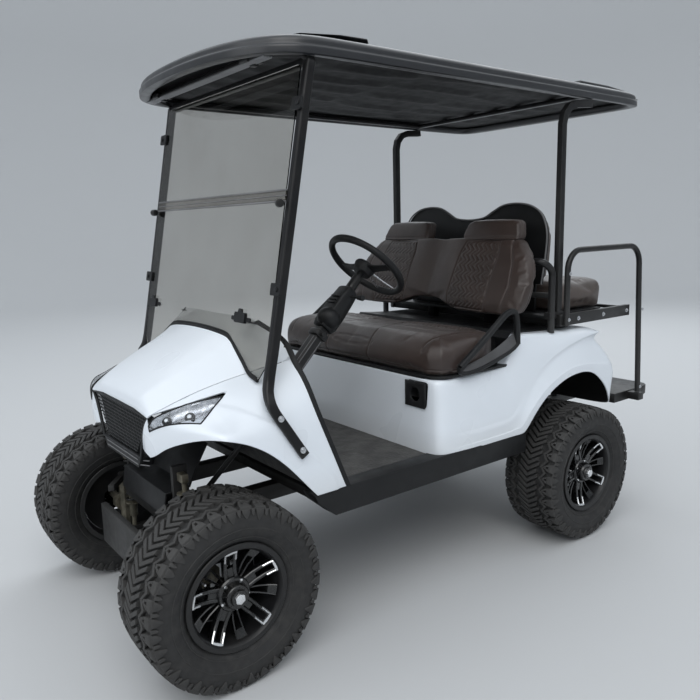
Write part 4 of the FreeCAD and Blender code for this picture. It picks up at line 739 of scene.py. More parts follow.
def rim_line(bm):
    """The points of a sheet's one open edge, in order."""
    edges = {e for e in bm.edges if e.is_boundary}
    edge = edges.pop()
    start, here = edge.verts
    line = [start.co.copy(), here.co.copy()]
    while edges:
        following = [e for e in here.link_edges if e in edges]
        if not following:
            break
        edges.discard(following[0])
        here = following[0].other_vert(here)
        if here is not start:
            line.append(here.co.copy())
    return line


def make_lamp(sheet):
    """Clear cover, chrome bowl, black gasket, projector rings and a light bar."""
    inner = lamp_sides(0.0)
    made = []
    bm = lamp_patch(sheet, 0.001)
    line = rim_line(bm)
    bmesh.ops.translate(bm, verts=bm.verts[:], vec=LAMP_AIM * 0.0005)
    lens = place(bm, "lamp_left_lens", "lens", replaces=("headlights",))
    modifier(lens, "SOLIDIFY", thickness=0.0025, offset=-1.0)
    made.append(settle(lens, 40))
    bm = lamp_patch(sheet, 0.0015)
    for v in bm.verts:
        inside = min((at - v.co).dot(out) for at, out in inner)
        share = min(max(inside / 0.026, 0), 1)
        v.co -= LAMP_AIM * (0.0035 + 0.027 * share ** 0.6)
    made.append(place(bm, "lamp_left_bowl", "reflector", replaces=("headlights",), angle=60))
    made.append(tube("lamp_left_gasket", line, 0, 0.0026, material="trim",
                     replaces=("headlights",),
                     closed=True, sides=2))
    bm = bmesh.new()
    chrome = bmesh.new()
    for x, y, z, size in ((80, 340, 792, 0.014), (30, 396, 806, 0.016)):
        at = fa(x, y, z)
        disc(bm, at, LAMP_AIM, size, 0.012, 28, bevel=0.002)
        disc(chrome, at + LAMP_AIM * 0.005, LAMP_AIM, size * 0.66, 0.008, 28, top=size * 0.4, bevel=0.001)
    band = [Vector(fa(*LAMP[1])).lerp(fa(*LAMP[2]),
                                      t) - LAMP_AIM * 0.012 + Vector((-0.002, -0.006, 0.009)) for t in (0.16,
                                                                                                        0.90)]
    bar = [Vector(fa(*LAMP[4])).lerp(fa(*LAMP[3]), t) - LAMP_AIM * 0.012 + Vector((0, 0.006,
                                                                                   -0.003)) for t in (0.1, 0.8)]
    made.append(place(bm, "lamp_left_rings", "trim", replaces=("headlights",)))
    made.append(place(chrome, "lamp_left_projectors", "machined", replaces=("headlights",)))
    made.append(tube("lamp_left_band", band, 0.01, 0.0045, material="trim",
                     replaces=("headlights",)))
    made.append(tube("lamp_left_bar", bar, 0.01, 0.0035, material="machined",
                     replaces=("headlights",)))
    for piece in made:
        other = flipped(piece, piece.name.replace("left", "right"))
        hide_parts("headlights")


def make_nose():
    hood = place(hood_sheet(), "hood_panel", ["paint", "trim"], replaces=("hood",))
    shell_of(hood, sizes().smooth, sizes().panel)
    fender = place(fender_sheet(), "fender_left_panel", ["paint", "trim"],
                   replaces=("front_fenders",))
    modifier(fender, "SUBSURF", levels=sizes().smooth + 1, render_levels=sizes().smooth + 1,
             boundary_smooth="PRESERVE_CORNERS")
    settle(fender)
    raise_bead(fender)
    make_lamp(fender.data)
    modifier(fender, "SOLIDIFY", thickness=sizes().panel, offset=-1.0, use_even_offset=True, material_offset=1)
    settle(fender)
    cut(fender, [lamp_block(0.003)])
    soften(fender, 0.001, 2, 60)
    settle(fender, 40)
    right = flipped(fender, "fender_right_panel")
    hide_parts("front_fenders")
    make_cowl_trim()


def make_cowl_trim():
    """A black strip along the cowl's rear edge, from the pillar down to the sill."""
    back = [(-283, 285, 1060), (-316, 420, 1008), (-321, 437, 948)] + FENDER_ROWS[0]
    ahead = [(-235, 262, 1032), (-262, 375, 1003), (-264, 408, 930)] + FENDER_ROWS[1]
    lift = [(0.2, 0.3, 0.9), (0, 0.75, 0.6), (0, 0.9, 0.35), (0, 0.9, 0.35), (0, 0.97, 0.2), (0, 1, 0.1),
            (0, 1, 0)]
    rows = []
    for one, two, out in zip(back, ahead, lift):
        one, two, out = fa(*one), fa(*two), Vector(out).normalized()
        along = (two - one).normalized()
        rows.append([one - along * 0.004 - out * 0.004, one - along * 0.004 + out * 0.002,
                     one + along * 0.005 + out * 0.0032,
                     one + along * 0.013 + out * 0.0022, one + along * 0.014 - out * 0.001])
    bm = bmesh.new()
    grid_skin(bm, rows, creases={1: 0.7, 3: 0.7})
    piece = place(bm, "cowl_edge_trim_left", "trim")
    shell_of(piece, 3, 0.002, 0)
    flipped(piece, "cowl_edge_trim_right")


def honeycomb(bm, centre, across, up, count_a, count_u, size, wall):
    """Open hexagonal cells in a plane."""
    centre, across, up = Vector(centre), Vector(across).normalized(), Vector(up).normalized()
    for i in range(-count_a, count_a + 1):
        for j in range(-count_u, count_u + 1):
            wide = size * math.sqrt(3)
            mid = centre + across * (i * wide + (j % 2) * wide / 2) + up * (j * size * 1.5)
            rings = []
            for radius in (size, size - wall):
                rings.append([bm.verts.new(mid + across * radius * math.sin(math.radians(60 * k)) +
                                           up * radius * math.cos(math.radians(60 * k))) for k in range(6)])
            for k in range(6):
                bm.faces.new((rings[0][k - 1], rings[0][k], rings[1][k], rings[1][k - 1]))
    bmesh.ops.remove_doubles(bm, verts=bm.verts[:], dist=0.0002)


def make_grille():
    bm = bmesh.new()
    honeycomb(bm, fa(106, 0, 720), (0, 1, 0), (0, 0, 1), 22, 9, 0.0080, 0.0021)
    middle = Vector((0, 0, 720))
    for (y0, z0), (y1, z1) in zip(GRILLE_EDGE, GRILLE_EDGE[1:] + GRILLE_EDGE[:1]):
        out = Vector((0, z1 - z0, -(y1 - y0)))
        if out.dot(Vector((0, (y0 + y1) / 2, (z0 + z1) / 2)) - middle) < 0:
            out = -out
        bmesh.ops.bisect_plane(bm, geom=all_of(bm), dist=0.00001, plane_co=fa(106, y0, z0), plane_no=out,
                               clear_outer=True)
    outwards(bm)
    mesh_piece = place(bm, "grille_mesh", "plastic", replaces=("grille",), tidy=False)
    modifier(mesh_piece, "SOLIDIFY", thickness=0.002, offset=0.0)
    settle(mesh_piece, 30)
    bm = bmesh.new()
    outline_face(bm, [fa(90, y, z) for y, z in GRILLE_EDGE])
    push_out(bm, bm.faces[:][0], (0.003, 0, 0))
    place(bm, "grille_back", "trim", replaces=("grille",))
    rim = [fa(110, y * 0.985, 722 + (z - 722) * 0.985) for y, z in GRILLE_EDGE]
    tube("grille_rim", rim, 0, 0.0062, material="plastic", replaces=("grille",),
         closed=True, sides=3)
    # two thin ridges along the valance, coloured grey as a painted highlight along their edges
    for k, z in enumerate((629, 613)):
        tube(f"valance_line_{k + 1}", [fa(88, -188, z), fa(111, -150, z), fa(111, 150, z), fa(88, 188, z)],
             0.03, 0.0022,
             material="edge_grey", sides=3)


# Side sections of the rear body: (x, z) of the top edge, (x, y, z) of the crease, how far the skin
# steps outwards below it, (x, y, z) of the low edge and the way from there to the crease.
REAR_STATIONS = [
    ((600, 800), (600, 571, 590), 5, (600, 577, 520), (0, 0.6)),
    ((440, 800), (440, 571, 593), 5, (440, 577, 520), (0, 0.6)),
    ((405, 812), (400, 571, 601), 5, (400, 578, 520), (0, 0.7)),
    ((385, 850), (372, 570, 626), 4, (368, 580, 520), (0.3, 0.9)),
    ((355, 897), (340, 570, 655), 3, (340, 583, 521), (0.7, 0.7)),
    ((326, 924), (308, 570, 694), 2, (318, 586, 544), (0.75, 0.66)),
    ((245, 917), (236, 571, 763), 0, (270, 590, 602), (0.74, 0.67)),
    ((150, 911), (150, 572, 808), -3, (200, 592, 662), (0.6, 0.8)),
    ((55, 909), (60, 573, 839), -5, (85, 592, 711), (0.25, 0.97)),
    ((-40, 908), (-42, 574, 862), -8, (-20, 592, 724), (0, 1)),
    ((-95, 908), (-108, 575, 872), -11, (-98, 592, 716), (-0.25, 0.97)),
]
REAR_END = [
    [(-128, 0, 903), (-128, 500, 906), (-132, 538, 903), (-146, 556, 893), (-152, 572, 884), (-156, 576, 878),
     (-140, 556, 856),
     (-172, 570, 812), (-205, 584, 738), (-200, 589, 732), (-162, 592, 686)],
    [(-150, 0, 898), (-150, 498, 901), (-156, 534, 898), (-180, 556, 887), (-186, 570, 882), (-191, 574, 879),
     (-158, 552, 850),
     (-222, 566, 808), (-270, 581, 735), (-262, 588, 716), (-235, 592, 616)],
    [(-165, 0, 892), (-167, 490, 894), (-172, 520, 891), (-186, 540, 884), (-191, 552, 881), (-196, 556, 877),
     (-166, 540, 846),
     (-240, 556, 806), (-304, 572, 712), (-306, 582, 672), (-256, 590, 556)],
    [(-180, 0, 885), (-182, 470, 886), (-186, 490, 884), (-194, 500, 881), (-197, 505, 879), (-200, 508, 875),
     (-182, 505, 846),
     (-228, 515, 798), (-310, 540, 690), (-318, 545, 660), (-300, 570, 522)],
    [(-180, 0, 885), (-184, 250, 886), (-188, 250, 884), (-196, 250, 881), (-199, 250, 879), (-202, 250, 875),
     (-184, 250, 846),
     (-230, 250, 798), (-313, 250, 690), (-322, 250, 660), (-300, 250, 522)],
    [(-180, 0, 885), (-184, 0, 886), (-188, 0, 884), (-196, 0, 881), (-199, 0, 879), (-202, 0, 875),
     (-184, 0, 846),
     (-230, 0, 798), (-313, 0, 690), (-322, 0, 660), (-300, 0, 522)],
]


def rear_row(top, crease, under, low, way):
    (tx, tz), (cx, cy, cz), (lx, ly, lz) = top, crease, low
    high, step = (lx + way[0] * 37, ly - 2.2, lz + way[1] * 37), (lx + way[0] * 32, ly + 0.3, lz + way[1] * 32)
    return [ra(tx, 0, tz - 4), ra(tx, 500, tz), ra(tx, 540, tz - 3),
            ra((tx + cx) / 2, (548 + cy) / 2 + 4, (tz + cz) / 2 + 6),
            ra(cx, cy - 1.5, cz + 13), ra(cx, cy, cz), ra(cx + way[0] * -12, cy + under, cz - 14),
            ra((cx + high[0]) / 2, (cy + under + ly) / 2 - 2, (cz + high[2]) / 2 - 4), ra(*high), ra(*step),
            ra(lx, ly, lz)]


def front_row(points):
    """A row down the seat box's front from its top, edge, middle, crease and foot."""
    top0, top1, edge, middle, crease, foot = (Vector(p) for p in points)
    return [top0, top1, edge, middle, middle.lerp(crease, 0.88),
            crease] + [crease.lerp(foot, t) for t in (0.15, 0.4, 0.7, 0.76, 1)]


def rear_sheet():
    bm = bmesh.new()
    rows = []
    for y in (0, 250, 470):
        rows.append(front_row([ra(770, 0, 796), ra(770, y, 799), ra(797, y, 798), ra(805, y, 700),
                               ra(816, y * 1.03, 600),
                               ra(823, y * 1.03, 520)]))
    rows.append(front_row([ra(765, 0, 796), ra(765, 480, 799), ra(790, 530, 798), ra(797, 545, 700),
                           ra(806, 560, 598),
                           ra(812, 562, 520)]))
    rows.append(front_row([ra(740, 0, 796), ra(740, 498, 799), ra(745, 545, 798), ra(748, 558, 700),
                           ra(752, 570, 594),
                           ra(754, 577, 520)]))
    rows += [rear_row(*station) for station in REAR_STATIONS]
    rows += [[ra(*p) for p in row] for row in REAR_END]
    grid_skin(bm, rows, creases={2: 0.3, 5: 0.85, 8: 0.6, 9: 0.6})
    gone = []
    for f in bm.faces:
        middle = f.calc_center_median()
        if middle.x > REAR_AXLE + 0.322 and middle.y < 0.37 and middle.z > 0.78:
            gone.append(f)
    bmesh.ops.delete(bm, geom=gone, context="FACES")
    bmesh.ops.remove_doubles(bm, verts=bm.verts[:], dist=0.0002)
    bad = [f for f in bm.faces if f.calc_area() < 1e-7]
    bmesh.ops.delete(bm, geom=bad, context="FACES")
    mirror_y(bm, 0.0005)
    return bm


def make_rear_body():
    piece = place(rear_sheet(), "rear_body_panel", ["paint", "trim"],
                  replaces=("rear_body",))
    modifier(piece, "SUBSURF", levels=sizes().smooth, render_levels=sizes().smooth)
    modifier(piece, "SOLIDIFY", thickness=sizes().panel, offset=-1.0, use_even_offset=False, material_offset=1)
    settle(piece)
    blocks = []
    bm = bmesh.new()
    rounded_block(bm, ra(760, 384, 689), ra(850, 494, 787), 0.014, 4)
    blocks.append(block_object(bm))
    cut(piece, blocks)
    soften(piece, 0.001, 2, 60)
    settle(piece, 40)


# Wheels

# How far each wheel has rolled in the photograph, in radians, and the extra turn of the right ones
WHEEL_TURN = {"front": 0.09, "rear": 0.43, "right": 0.3}
RIM_OUT = {"front": 0.487, "rear": 0.557}


def wheel_frame(side, axle):
    """Where a wheel's own frame stands, with its outer face along its own +Y."""
    y = RIM_OUT[axle] * (1 if side == "left" else -1)
    x = FRONT_AXLE if axle == "front" else REAR_AXLE
    place_at = Matrix.Translation((x, y, TYRE_R))
    return place_at if side == "left" else place_at @ Matrix.Rotation(math.pi, 4, "Z")


def on_tyre(angle, y, radius):
    return Vector((radius * math.cos(angle), y, radius * math.sin(angle)))


def tread_height(y):
    """Radius of the tread's crown across the tyre."""
    return 0.2898 - 0.0055 * (abs(y) / 0.117) ** 3


def tread_block(bm, angle, points, base, drop=0.0):
    """One lug: corners as (arc mm, y mm) round a centre line, from the carcass to the crown."""
    rings = []
    middle = points_mid(points)
    for level, grow in ((base, 1.8), (None, 0.0)):
        ring = []
        for arc, y in points:
            k = 1 + grow / max(math.hypot(arc - middle[0], y - middle[1]), 1)
            a = middle[0] + (arc - middle[0]) * k
            b = middle[1] + (y - middle[1]) * k
            r = level if level is not None else tread_height(b * MM) - drop
            ring.append(bm.verts.new(on_tyre(angle + a * MM / TYRE_R, b * MM, r)))
        rings.append(ring)
    top = bm.faces.new(rings[1])
    for k in range(len(points)):
        bm.faces.new((rings[0][k - 1], rings[0][k], rings[1][k], rings[1][k - 1]))
    return top


def points_mid(points):
    return (sum(p[0] for p in points) / len(points), sum(p[1] for p in points) / len(points))


def tyre_lugs(pitch):
    """Lugs of one pitch and one side: outline as (arc mm, y mm), level of its foot, drop of its top."""
    half, bar, lean = pitch / 2, pitch * 0.31, 0.66
    lugs = []
    for start, reach in ((0, 41), (half, 50)):
        lugs.append(([(start, 0.2), (start + bar, 0.2), (start + bar + lean * reach, reach),
                      (start + lean * reach, reach)], 0.276, 0))
    high, low = (half * 2.32, 57), (half * 1.32, 77)
    for one, two in ((high, low), (low, (high[0] - pitch, high[1]))):
        lugs.append(([one, two, (two[0], two[1] + 11.5), (one[0], one[1] + 11.5)], 0.276, 0.0002))
    mid = high[0] - pitch
    lugs.append(([(mid - 5, 74), (mid + 5, 74), (mid + 9, 84), (mid - 9, 84)], 0.275, 0.0006))
    lugs.append(([(mid - 9, 84.1), (mid - 3.2, 84.1), (mid - 4.5, 96), (mid - 15, 96)], 0.275, 0.0006))
    lugs.append(([(mid + 3.2, 84.1), (mid + 9, 84.1), (mid + 15, 96), (mid + 4.5, 96)], 0.275, 0.0006))
    lugs.append(([(mid - 15, 96.1), (mid + 15, 96.1), (mid + 19, 118), (mid - 19, 118)], 0.274, 0.0008))
    return lugs


def tyre_mesh():
    bm = bmesh.new()
    section = [(88, 152), (96, 170), (104, 178), (113, 196), (121, 212), (124.5, 232), (122, 252), (118, 264),
               (112, 271),
               (100, 275), (60, 277), (0, 277.5)]
    profile = [(y, r) for y, r in section] + [(-y, r) for y, r in reversed(section[:-1])]
    spun(bm, profile, 108)
    bmesh.ops.remove_doubles(bm, verts=bm.verts[:], dist=0.0002)
    outwards(bm)
    count = sizes().pitches
    pitch = 2 * math.pi * TYRE_R / MM / count
    tops = []
    for k in range(count):
        for s in (1, -1):
            angle = 2 * math.pi * (k + (0.5 if s < 0 else 0)) / count
            for outline, base, drop in tyre_lugs(pitch):
                tops.append(tread_block(bm, angle, [(arc, s * y) for arc, y in outline], base, drop))
            # the tooth under each shoulder lug, alternately long and short, and a low one between
            for shift, tip, wide, lift in ((pitch * 0.16, 243 if k % 2 else 250, 15, 3.4),
                                           (pitch * 0.66, 256, 7, 2.0)):
                outer = [(-wide, 276, 117), (wide, 276, 117), (wide * 0.8, 262, 121.4),
                         (wide * 0.18, tip, 124.3),
                         (-wide * 0.18, tip, 124.3), (-wide * 0.8, 262, 121.4)]
                rings = []
                for rise, spread in ((-2.0, 1.08), (lift, 1.0)):
                    rings.append([bm.verts.new(on_tyre(angle + (shift + arc * spread) * MM / TYRE_R,
                                                       s * min(y + rise, 127) * MM,
                                                       (262 + (r - 262) * spread) * MM)) for arc, r,
                                                       y in outer])
                tops.append(bm.faces.new(rings[1]))
                for i in range(6):
                    bm.faces.new((rings[0][i - 1], rings[0][i], rings[1][i], rings[1][i - 1]))
    outwards(bm)
    edges = list({e for f in tops for e in f.edges})
    bmesh.ops.bevel(bm, geom=edges, offset=0.0010, offset_type="OFFSET", segments=1, profile=0.5,
                    affect="EDGES",
                    clamp_overlap=True, material=-1)
    # raised rings on the sidewall, without any lettering
    for y, r, thick in ((122.4, 218, 0.9), (109, 187, 1.4)):
        for s in (1, -1):
            spun(bm, [(s * (y - 2.0), r - 2.5), (s * (y + thick), r - 1), (s * (y + thick + 0.3), r + 1),
                      (s * (y - 1.0), r + 2.5)])
    return bm


def spun(bm, profile, steps=72):
    """A closed or open outline of (y mm, radius mm) turned about the wheel's axis."""
    verts = [bm.verts.new((r * MM, y * MM, 0)) for y, r in profile]
    edges = [bm.edges.new((a, b)) for a, b in zip(verts, verts[1:])]
    bmesh.ops.spin(bm, geom=verts + edges, cent=(0, 0, 0), axis=(0, 1, 0), angle=2 * math.pi, steps=steps,
                   use_merge=True)


def spoke_bar(bm, angle, rows, wide_in, wide_out, offset):
    """A bevelled bar from the hub to the rim; rows are (radius mm, face y mm, back y mm)."""
    rings = []
    for i, (r, face, back) in enumerate(rows):
        share = i / (len(rows) - 1)
        half = (wide_in + (wide_out - wide_in) * share) / 2
        ring = []
        for across, y in ((-half, back), (-half, face - 2.5), (-half + 2.5, face), (half - 2.5, face),
                          (half, face - 2.5), (half, back)):
            p = Vector((r, y, offset + across)) * MM
            ring.append(bm.verts.new(Matrix.Rotation(-angle, 4, "Y") @ p))
        rings.append(ring)
    loft(bm, rings)


def rim_barrel():
    bm = bmesh.new()
    spun(bm, [(106, 151.5), (106, 166), (104, 168), (101, 168), (97, 165), (95, 158), (88, 151.6), (40, 146),
              (-20, 138),
              (-60, 146), (-88, 151.6), (-95, 158), (-98, 166), (-104, 168), (-106, 166), (-106, 150),
              (-90, 146), (-60, 140),
              (-20, 132), (40, 138), (88, 142), (99, 146), (106, 151.5)])
    spun(bm, [(-38, 52), (-40, 60), (-36, 100), (-46, 120), (-50, 137)])
    return bm


def rim_spokes():
    """Five forked spokes with a window in each fork, and two thin ribs between neighbours."""
    bm = bmesh.new()
    for k in range(5):
        middle = math.radians(90 + 72 * k)
        for s in (1, -1):
            spoke_bar(bm, middle, [(42, 72, 52), (76, 73, 54), (108, 80, 58), (130, 89, 64), (149, 98, 70)],
                      12, 11, s * 15.5)
            spoke_bar(bm, middle + math.radians(36 + s * 5.5),
                      [(50, 62, 50), (90, 66, 54), (120, 76, 60), (148, 92, 70)], 6, 5, s * 2)
        spoke_bar(bm, middle, [(42, 68, 52), (62, 69, 53), (84, 70, 54)], 22, 22, 0)
        spoke_bar(bm, middle + math.radians(36), [(118, 73, 60), (134, 82, 66), (149, 92, 72)], 26, 40, 0)
    return bm


def rim_accents():
    """Bright machined brackets round the outer end of each spoke's window."""
    bm = bmesh.new()
    for k in range(5):
        middle = math.radians(90 + 72 * k)
        for s in (1, -1):
            spoke_bar(bm, middle, [(112, 84.4, 79), (130, 91.2, 86), (144.5, 98.2, 92)], 6.5, 6.5, s * 18)
        spoke_bar(bm, middle, [(139.5, 96.9, 90), (146.5, 99.6, 92)], 42.5, 42.5, 0)
    return bm


def rim_hub():
    bm = bmesh.new()
    spun(bm, [(40, 54), (72, 54), (77, 50), (78, 43), (88, 40), (98, 38), (101, 35), (101, 27), (108, 24),
              (109, 20), (109, 0.01)], 48)
    for k in range(10):
        a = math.radians(36 * k)
        disc(bm, (0.030 * math.cos(a), 0.100, 0.030 * math.sin(a)), (0, 1, 0), 0.0026, 0.004, 12)
    return bm


def rim_cap():
    bm = bmesh.new()
    disc(bm, (0, 0.1115, 0), (0, 1, 0), 0.0185, 0.008, 6, top=0.017, bevel=0.001)
    disc(bm, (0, 0.1155, 0), (0, 1, 0), 0.0125, 0.003, 28, bevel=0.0006)
    for k in range(5):
        a = math.radians(90 + 72 * k + 36)
        disc(bm, (0.046 * math.cos(a), 0.0755, 0.046 * math.sin(a)), (0, 1, 0), 0.0048, 0.010, 6, bevel=0.0006)
    return bm


def rim_valve():
    bm = bmesh.new()
    a = math.radians(42)
    disc(bm, (0.134 * math.cos(a), 0.094, 0.134 * math.sin(a)), (-0.35 * math.cos(a), 1, -0.35 * math.sin(a)),
         0.0042, 0.024, 12, top=0.0034)
    return bm


def make_wheels():
    kinds = [("tyre", tyre_mesh, "tyre", "tyre_rubber", 40), ("barrel", rim_barrel, "tube", "wheel_metal", 35),
             ("spokes", rim_spokes, "alloy", "wheel_metal", 30),
             ("accents", rim_accents, "machined", "wheel_metal", 30),
             ("hub", rim_hub, "alloy", "wheel_metal", 35), ("cap", rim_cap, "machined", "wheel_metal", 30),
             ("valve", rim_valve, "machined", "wheel_metal", 40)]
    for kind, build, key, slot, angle in kinds:
        model = build()
        bmesh.ops.remove_doubles(model, verts=model.verts[:], dist=0.00001)
        bmesh.ops.recalc_face_normals(model, faces=model.faces[:])
        if kind == "tyre":
            bmesh.ops.triangulate(model, faces=[f for f in model.faces if len(f.verts) > 4])
        for axle in ("front", "rear"):
            for side in ("left", "right"):
                bm = model.copy()
                turn = WHEEL_TURN[axle] + (WHEEL_TURN["right"] if side == "right" else 0)
                bmesh.ops.rotate(bm, verts=bm.verts[:], cent=(0, 0, 0), matrix=Matrix.Rotation(turn, 3, "Y"))
                bmesh.ops.transform(bm, matrix=wheel_frame(side, axle), verts=bm.verts[:])
                node = ("tyre_" if kind == "tyre" else "rim_") + axle + "_" + side
                place(bm, f"wheel_{axle}_{side}_{kind}", key, f"wheel_{axle}_{side}", (node,), angle,
                      tidy=False)
        model.free()


# Front seat

BACK_OUTLINE = [(0, 1030), (60, 1032), (90, 1030), (150, 1008), (220, 993), (350, 992), (480, 994),
                (530, 1004), (545, 1040), (547, 1095),
                (540, 1150), (522, 1196), (490, 1244), (446, 1286), (420, 1299), (300, 1303), (120, 1303),
                (60, 1300), (0, 1298)]


def back_front_x(z):
    """Front plane of the seat back, leaning rearwards."""
    return 340 - 0.45 * (z - 1000)


def inside(p, outline):
    """Whether a point lies within a closed outline."""
    odd = False
    for a, b in zip(outline, outline[1:] + outline[:1]):
        if (a[1] > p[1]) != (b[1] > p[1]) and p[0] < (b[0] - a[0]) * (p[1] - a[1]) / (b[1] - a[1]) + a[0]:
            odd = not odd
    return odd


def both_halves(rows):
    """A half outline with its mirror image, as one closed loop."""
    return rows + [(-y, z) for y, z in reversed(rows) if y > 0.001]


def pad_block(name, outline, lift, thick, round_edge, voxel, step=0.03):
    """A rounded block cut from a grid by its outline; lift turns (a, b, depth) into a point."""
    low = [min(p[k] for p in outline) for k in (0, 1)]
    high = [max(p[k] for p in outline) for k in (0, 1)]
    bm = bmesh.new()
    corners = [bm.verts.new((a, b, 0)) for a, b in outline]
    bm.faces.new(corners)
    outwards(bm)
    span = step / MM
    for axis, normal in ((0, (1, 0, 0)), (1, (0, 1, 0))):
        cuts = int((high[axis] - low[axis]) / span)
        for k in range(1, cuts + 1):
            at = low[axis] + (high[axis] - low[axis]) * k / (cuts + 1)
            bmesh.ops.bisect_plane(bm, geom=all_of(bm), dist=0.5, plane_co=[at * n for n in normal],
                                   plane_no=normal)
    for v in bm.verts:
        v.co = v.co * MM
    made = bmesh.ops.extrude_face_region(bm, geom=bm.faces[:])["geom"]
    for g in made:
        if isinstance(g, bmesh.types.BMVert):
            g.co.z = thick * MM
    outwards(bm)
    mesh = bpy.data.meshes.new(name)
    bm.to_mesh(mesh)
    bm.free()
    piece = bpy.data.objects.new(name, mesh)
    bpy.context.scene.collection.objects.link(piece)
    modifier(piece, "REMESH", mode="VOXEL", voxel_size=voxel, use_smooth_shade=True)
    modifier(piece, "SMOOTH", factor=0.6, iterations=round_edge)
    settle(piece)
    for v in piece.data.vertices:
        v.co = lift(v.co.x / MM, v.co.y / MM, v.co.z / MM)
    face_outwards(piece)
    return piece


def face_outwards(piece):
    bm = bmesh.new()
    bm.from_mesh(piece.data)
    outwards(bm)
    bm.to_mesh(piece.data)
    bm.free()


def fill_out(piece, pressure, cap, frames=14):
    """Blow a pad up a little as cloth, hold its swelling under a cap, then refine it."""
    rest = [v.co.copy() for v in piece.data.vertices]
    cloth = piece.modifiers.new("Cloth", "CLOTH")
    cloth.settings.use_pressure = True
    cloth.settings.uniform_pressure_force = pressure
    cloth.settings.effector_weights.gravity = 0.0
    cloth.settings.quality = 4
    cloth.settings.tension_stiffness = 40
    cloth.settings.compression_stiffness = 40
    cloth.settings.bending_stiffness = 8
    cloth.point_cache.frame_start = 1
    cloth.point_cache.frame_end = frames
    scene = bpy.context.scene
    for frame_number in range(1, frames + 1):
        scene.frame_set(frame_number)
    settle(piece)
    scene.frame_set(1)
    for v, start in zip(piece.data.vertices, rest):
        move = v.co - start
        if move.length > cap:
            v.co = start + move * (cap / move.length)
    modifier(piece, "SUBSURF", levels=1, render_levels=1)
    settle(piece)


def groove(distance, depth, width):
    """Depth of a soft line at a distance from its middle."""
    return depth * math.exp(-(distance / width) ** 2)


def line_distance(p, a, b):
    ab = (b[0] - a[0], b[1] - a[1])
    t = max(0, min(1, ((p[0] - a[0]) * ab[0] + (p[1] - a[1]) * ab[1]) / (ab[0] ** 2 + ab[1] ** 2)))
    return math.hypot(p[0] - a[0] - t * ab[0], p[1] - a[1] - t * ab[1])


def path_distance(p, path, closed=False):
    pairs = list(zip(path, path[1:])) + ([(path[-1], path[0])] if closed else [])
    return min(line_distance(p, a, b) for a, b in pairs)


def quilt(p, panel, depth):
    """Depth of a panel sewn in herringbone: bent lines with padding between them."""
    edge = path_distance(p, panel, True)
    if not inside(p, panel):
        return groove(edge, depth * 1.1, 3.6)
    wave = abs((p[1] / 44) % 1 * 2 - 1) * 28
    u = (p[0] + wave) / 25
    near = abs(u - round(u)) * 25
    cross = abs(p[1] / 22 - round(p[1] / 22)) * 22
    sewn = max(groove(near, depth, 3.4), groove(cross, depth * 0.55, 2.8) if round(u) % 2 else 0.0)
    return max(sewn, groove(edge, depth * 1.1, 3.6)) - depth * 0.3


def carve(piece, depth_at):
    """Move every vertex inwards along its normal by a depth in millimetres."""
    mesh = piece.data
    moves = []
    for v in mesh.vertices:
        depth = depth_at(v.co, v.normal)
        moves.append(v.normal * depth * MM)
    for v, move in zip(mesh.vertices, moves):
        v.co = v.co - move
    mesh.update()


def as_leather(piece, key, body, replaced):
    piece.data.materials.clear()
    piece.data.materials.append(finish(key))
    piece.data.shade_smooth()
    face_outwards(piece)
    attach(piece, body)
    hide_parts(replaced)
    return piece


BACK_PANELS = [[(150, 1014), (352, 1006), (362, 1060), (362, 1240), (346, 1290), (162, 1290), (148, 1240),
                (143, 1060)]]
BACK_PANELS.append([(-y, z) for y, z in reversed(BACK_PANELS[0])])
HEAD_OUTLINE = [(112, 1294), (114, 1318), (122, 1345), (130, 1368), (148, 1378), (270, 1381), (388, 1378),
                (408, 1366), (418, 1340), (428, 1318), (432, 1294)]


def make_front_back():
    def lift(a, b, c):
        swell = 18 * max(0.0, 1 - (abs(abs(a) - 265) / 300) ** 2) * max(0.0, 1 - ((b - 1120) / 190) ** 2)
        hollow = 10 * math.exp(-(a / 75) ** 2)
        front = 1 - min(1.0, c / 60)
        return ra(back_front_x(b) - 58 + (1 - c / 60) * 58 + (swell - hollow) * front + 4, a, b)

    back = pad_block("front_seat_back", both_halves(BACK_OUTLINE), lift, 60, 7, 0.0064)
    fill_out(back, 2.5, 0.010)

    def depth(co, normal):
        y, z = co.y / MM, co.z / MM
        facing = normal.x
        if facing < 0.2:
            return groove(abs(co.x / MM - (REAR_AXLE / MM + back_front_x(z) - 34)), 2.0,
                          3.0) if abs(facing) < 0.75 else 0.0
        p = (y, z)
        total = 0.0
        for panel in BACK_PANELS:
            total += quilt(p, panel, 3.6)
        bolster = [(450, 1008), (468, 1110), (452, 1200), (412, 1290)]
        total += groove(path_distance((abs(y), z), bolster), 3.2, 3.6)
        return total * min(1, max(0, (facing - 0.2) / 0.3))

    carve(back, depth)
    as_leather(back, "leather", BODY, "seat_back")

    def head_lift(a, b, c):
        swell = 12 * max(0.0, 1 - ((abs(a) - 270) / 160) ** 2) * (1 - c / 58)
        return ra(203 - 0.45 * (b - 1300) - c + 10 + swell, a, b)

    for side, s in (("left", 1), ("right", -1)):
        outline = [(s * y, z) for y, z in HEAD_OUTLINE][::s]
        head = pad_block("headrest_" + side, outline, head_lift, 58, 6, 0.0080)
        fill_out(head, 2.5, 0.008)
        seam = [(s * 112, 1306), (s * 432, 1306)]

        def head_depth(co, normal):
            y, z = co.y / MM, co.z / MM
            if normal.x > 0.25:
                return groove(path_distance((y, z), seam), 3.0, 3.2)
            return groove(abs(co.x / MM - (REAR_AXLE / MM + 212 - 0.45 * (z - 1300) - 22)), 1.8, 3.0)

        carve(head, head_depth)
        as_leather(head, "leather", BODY, "seat_back")


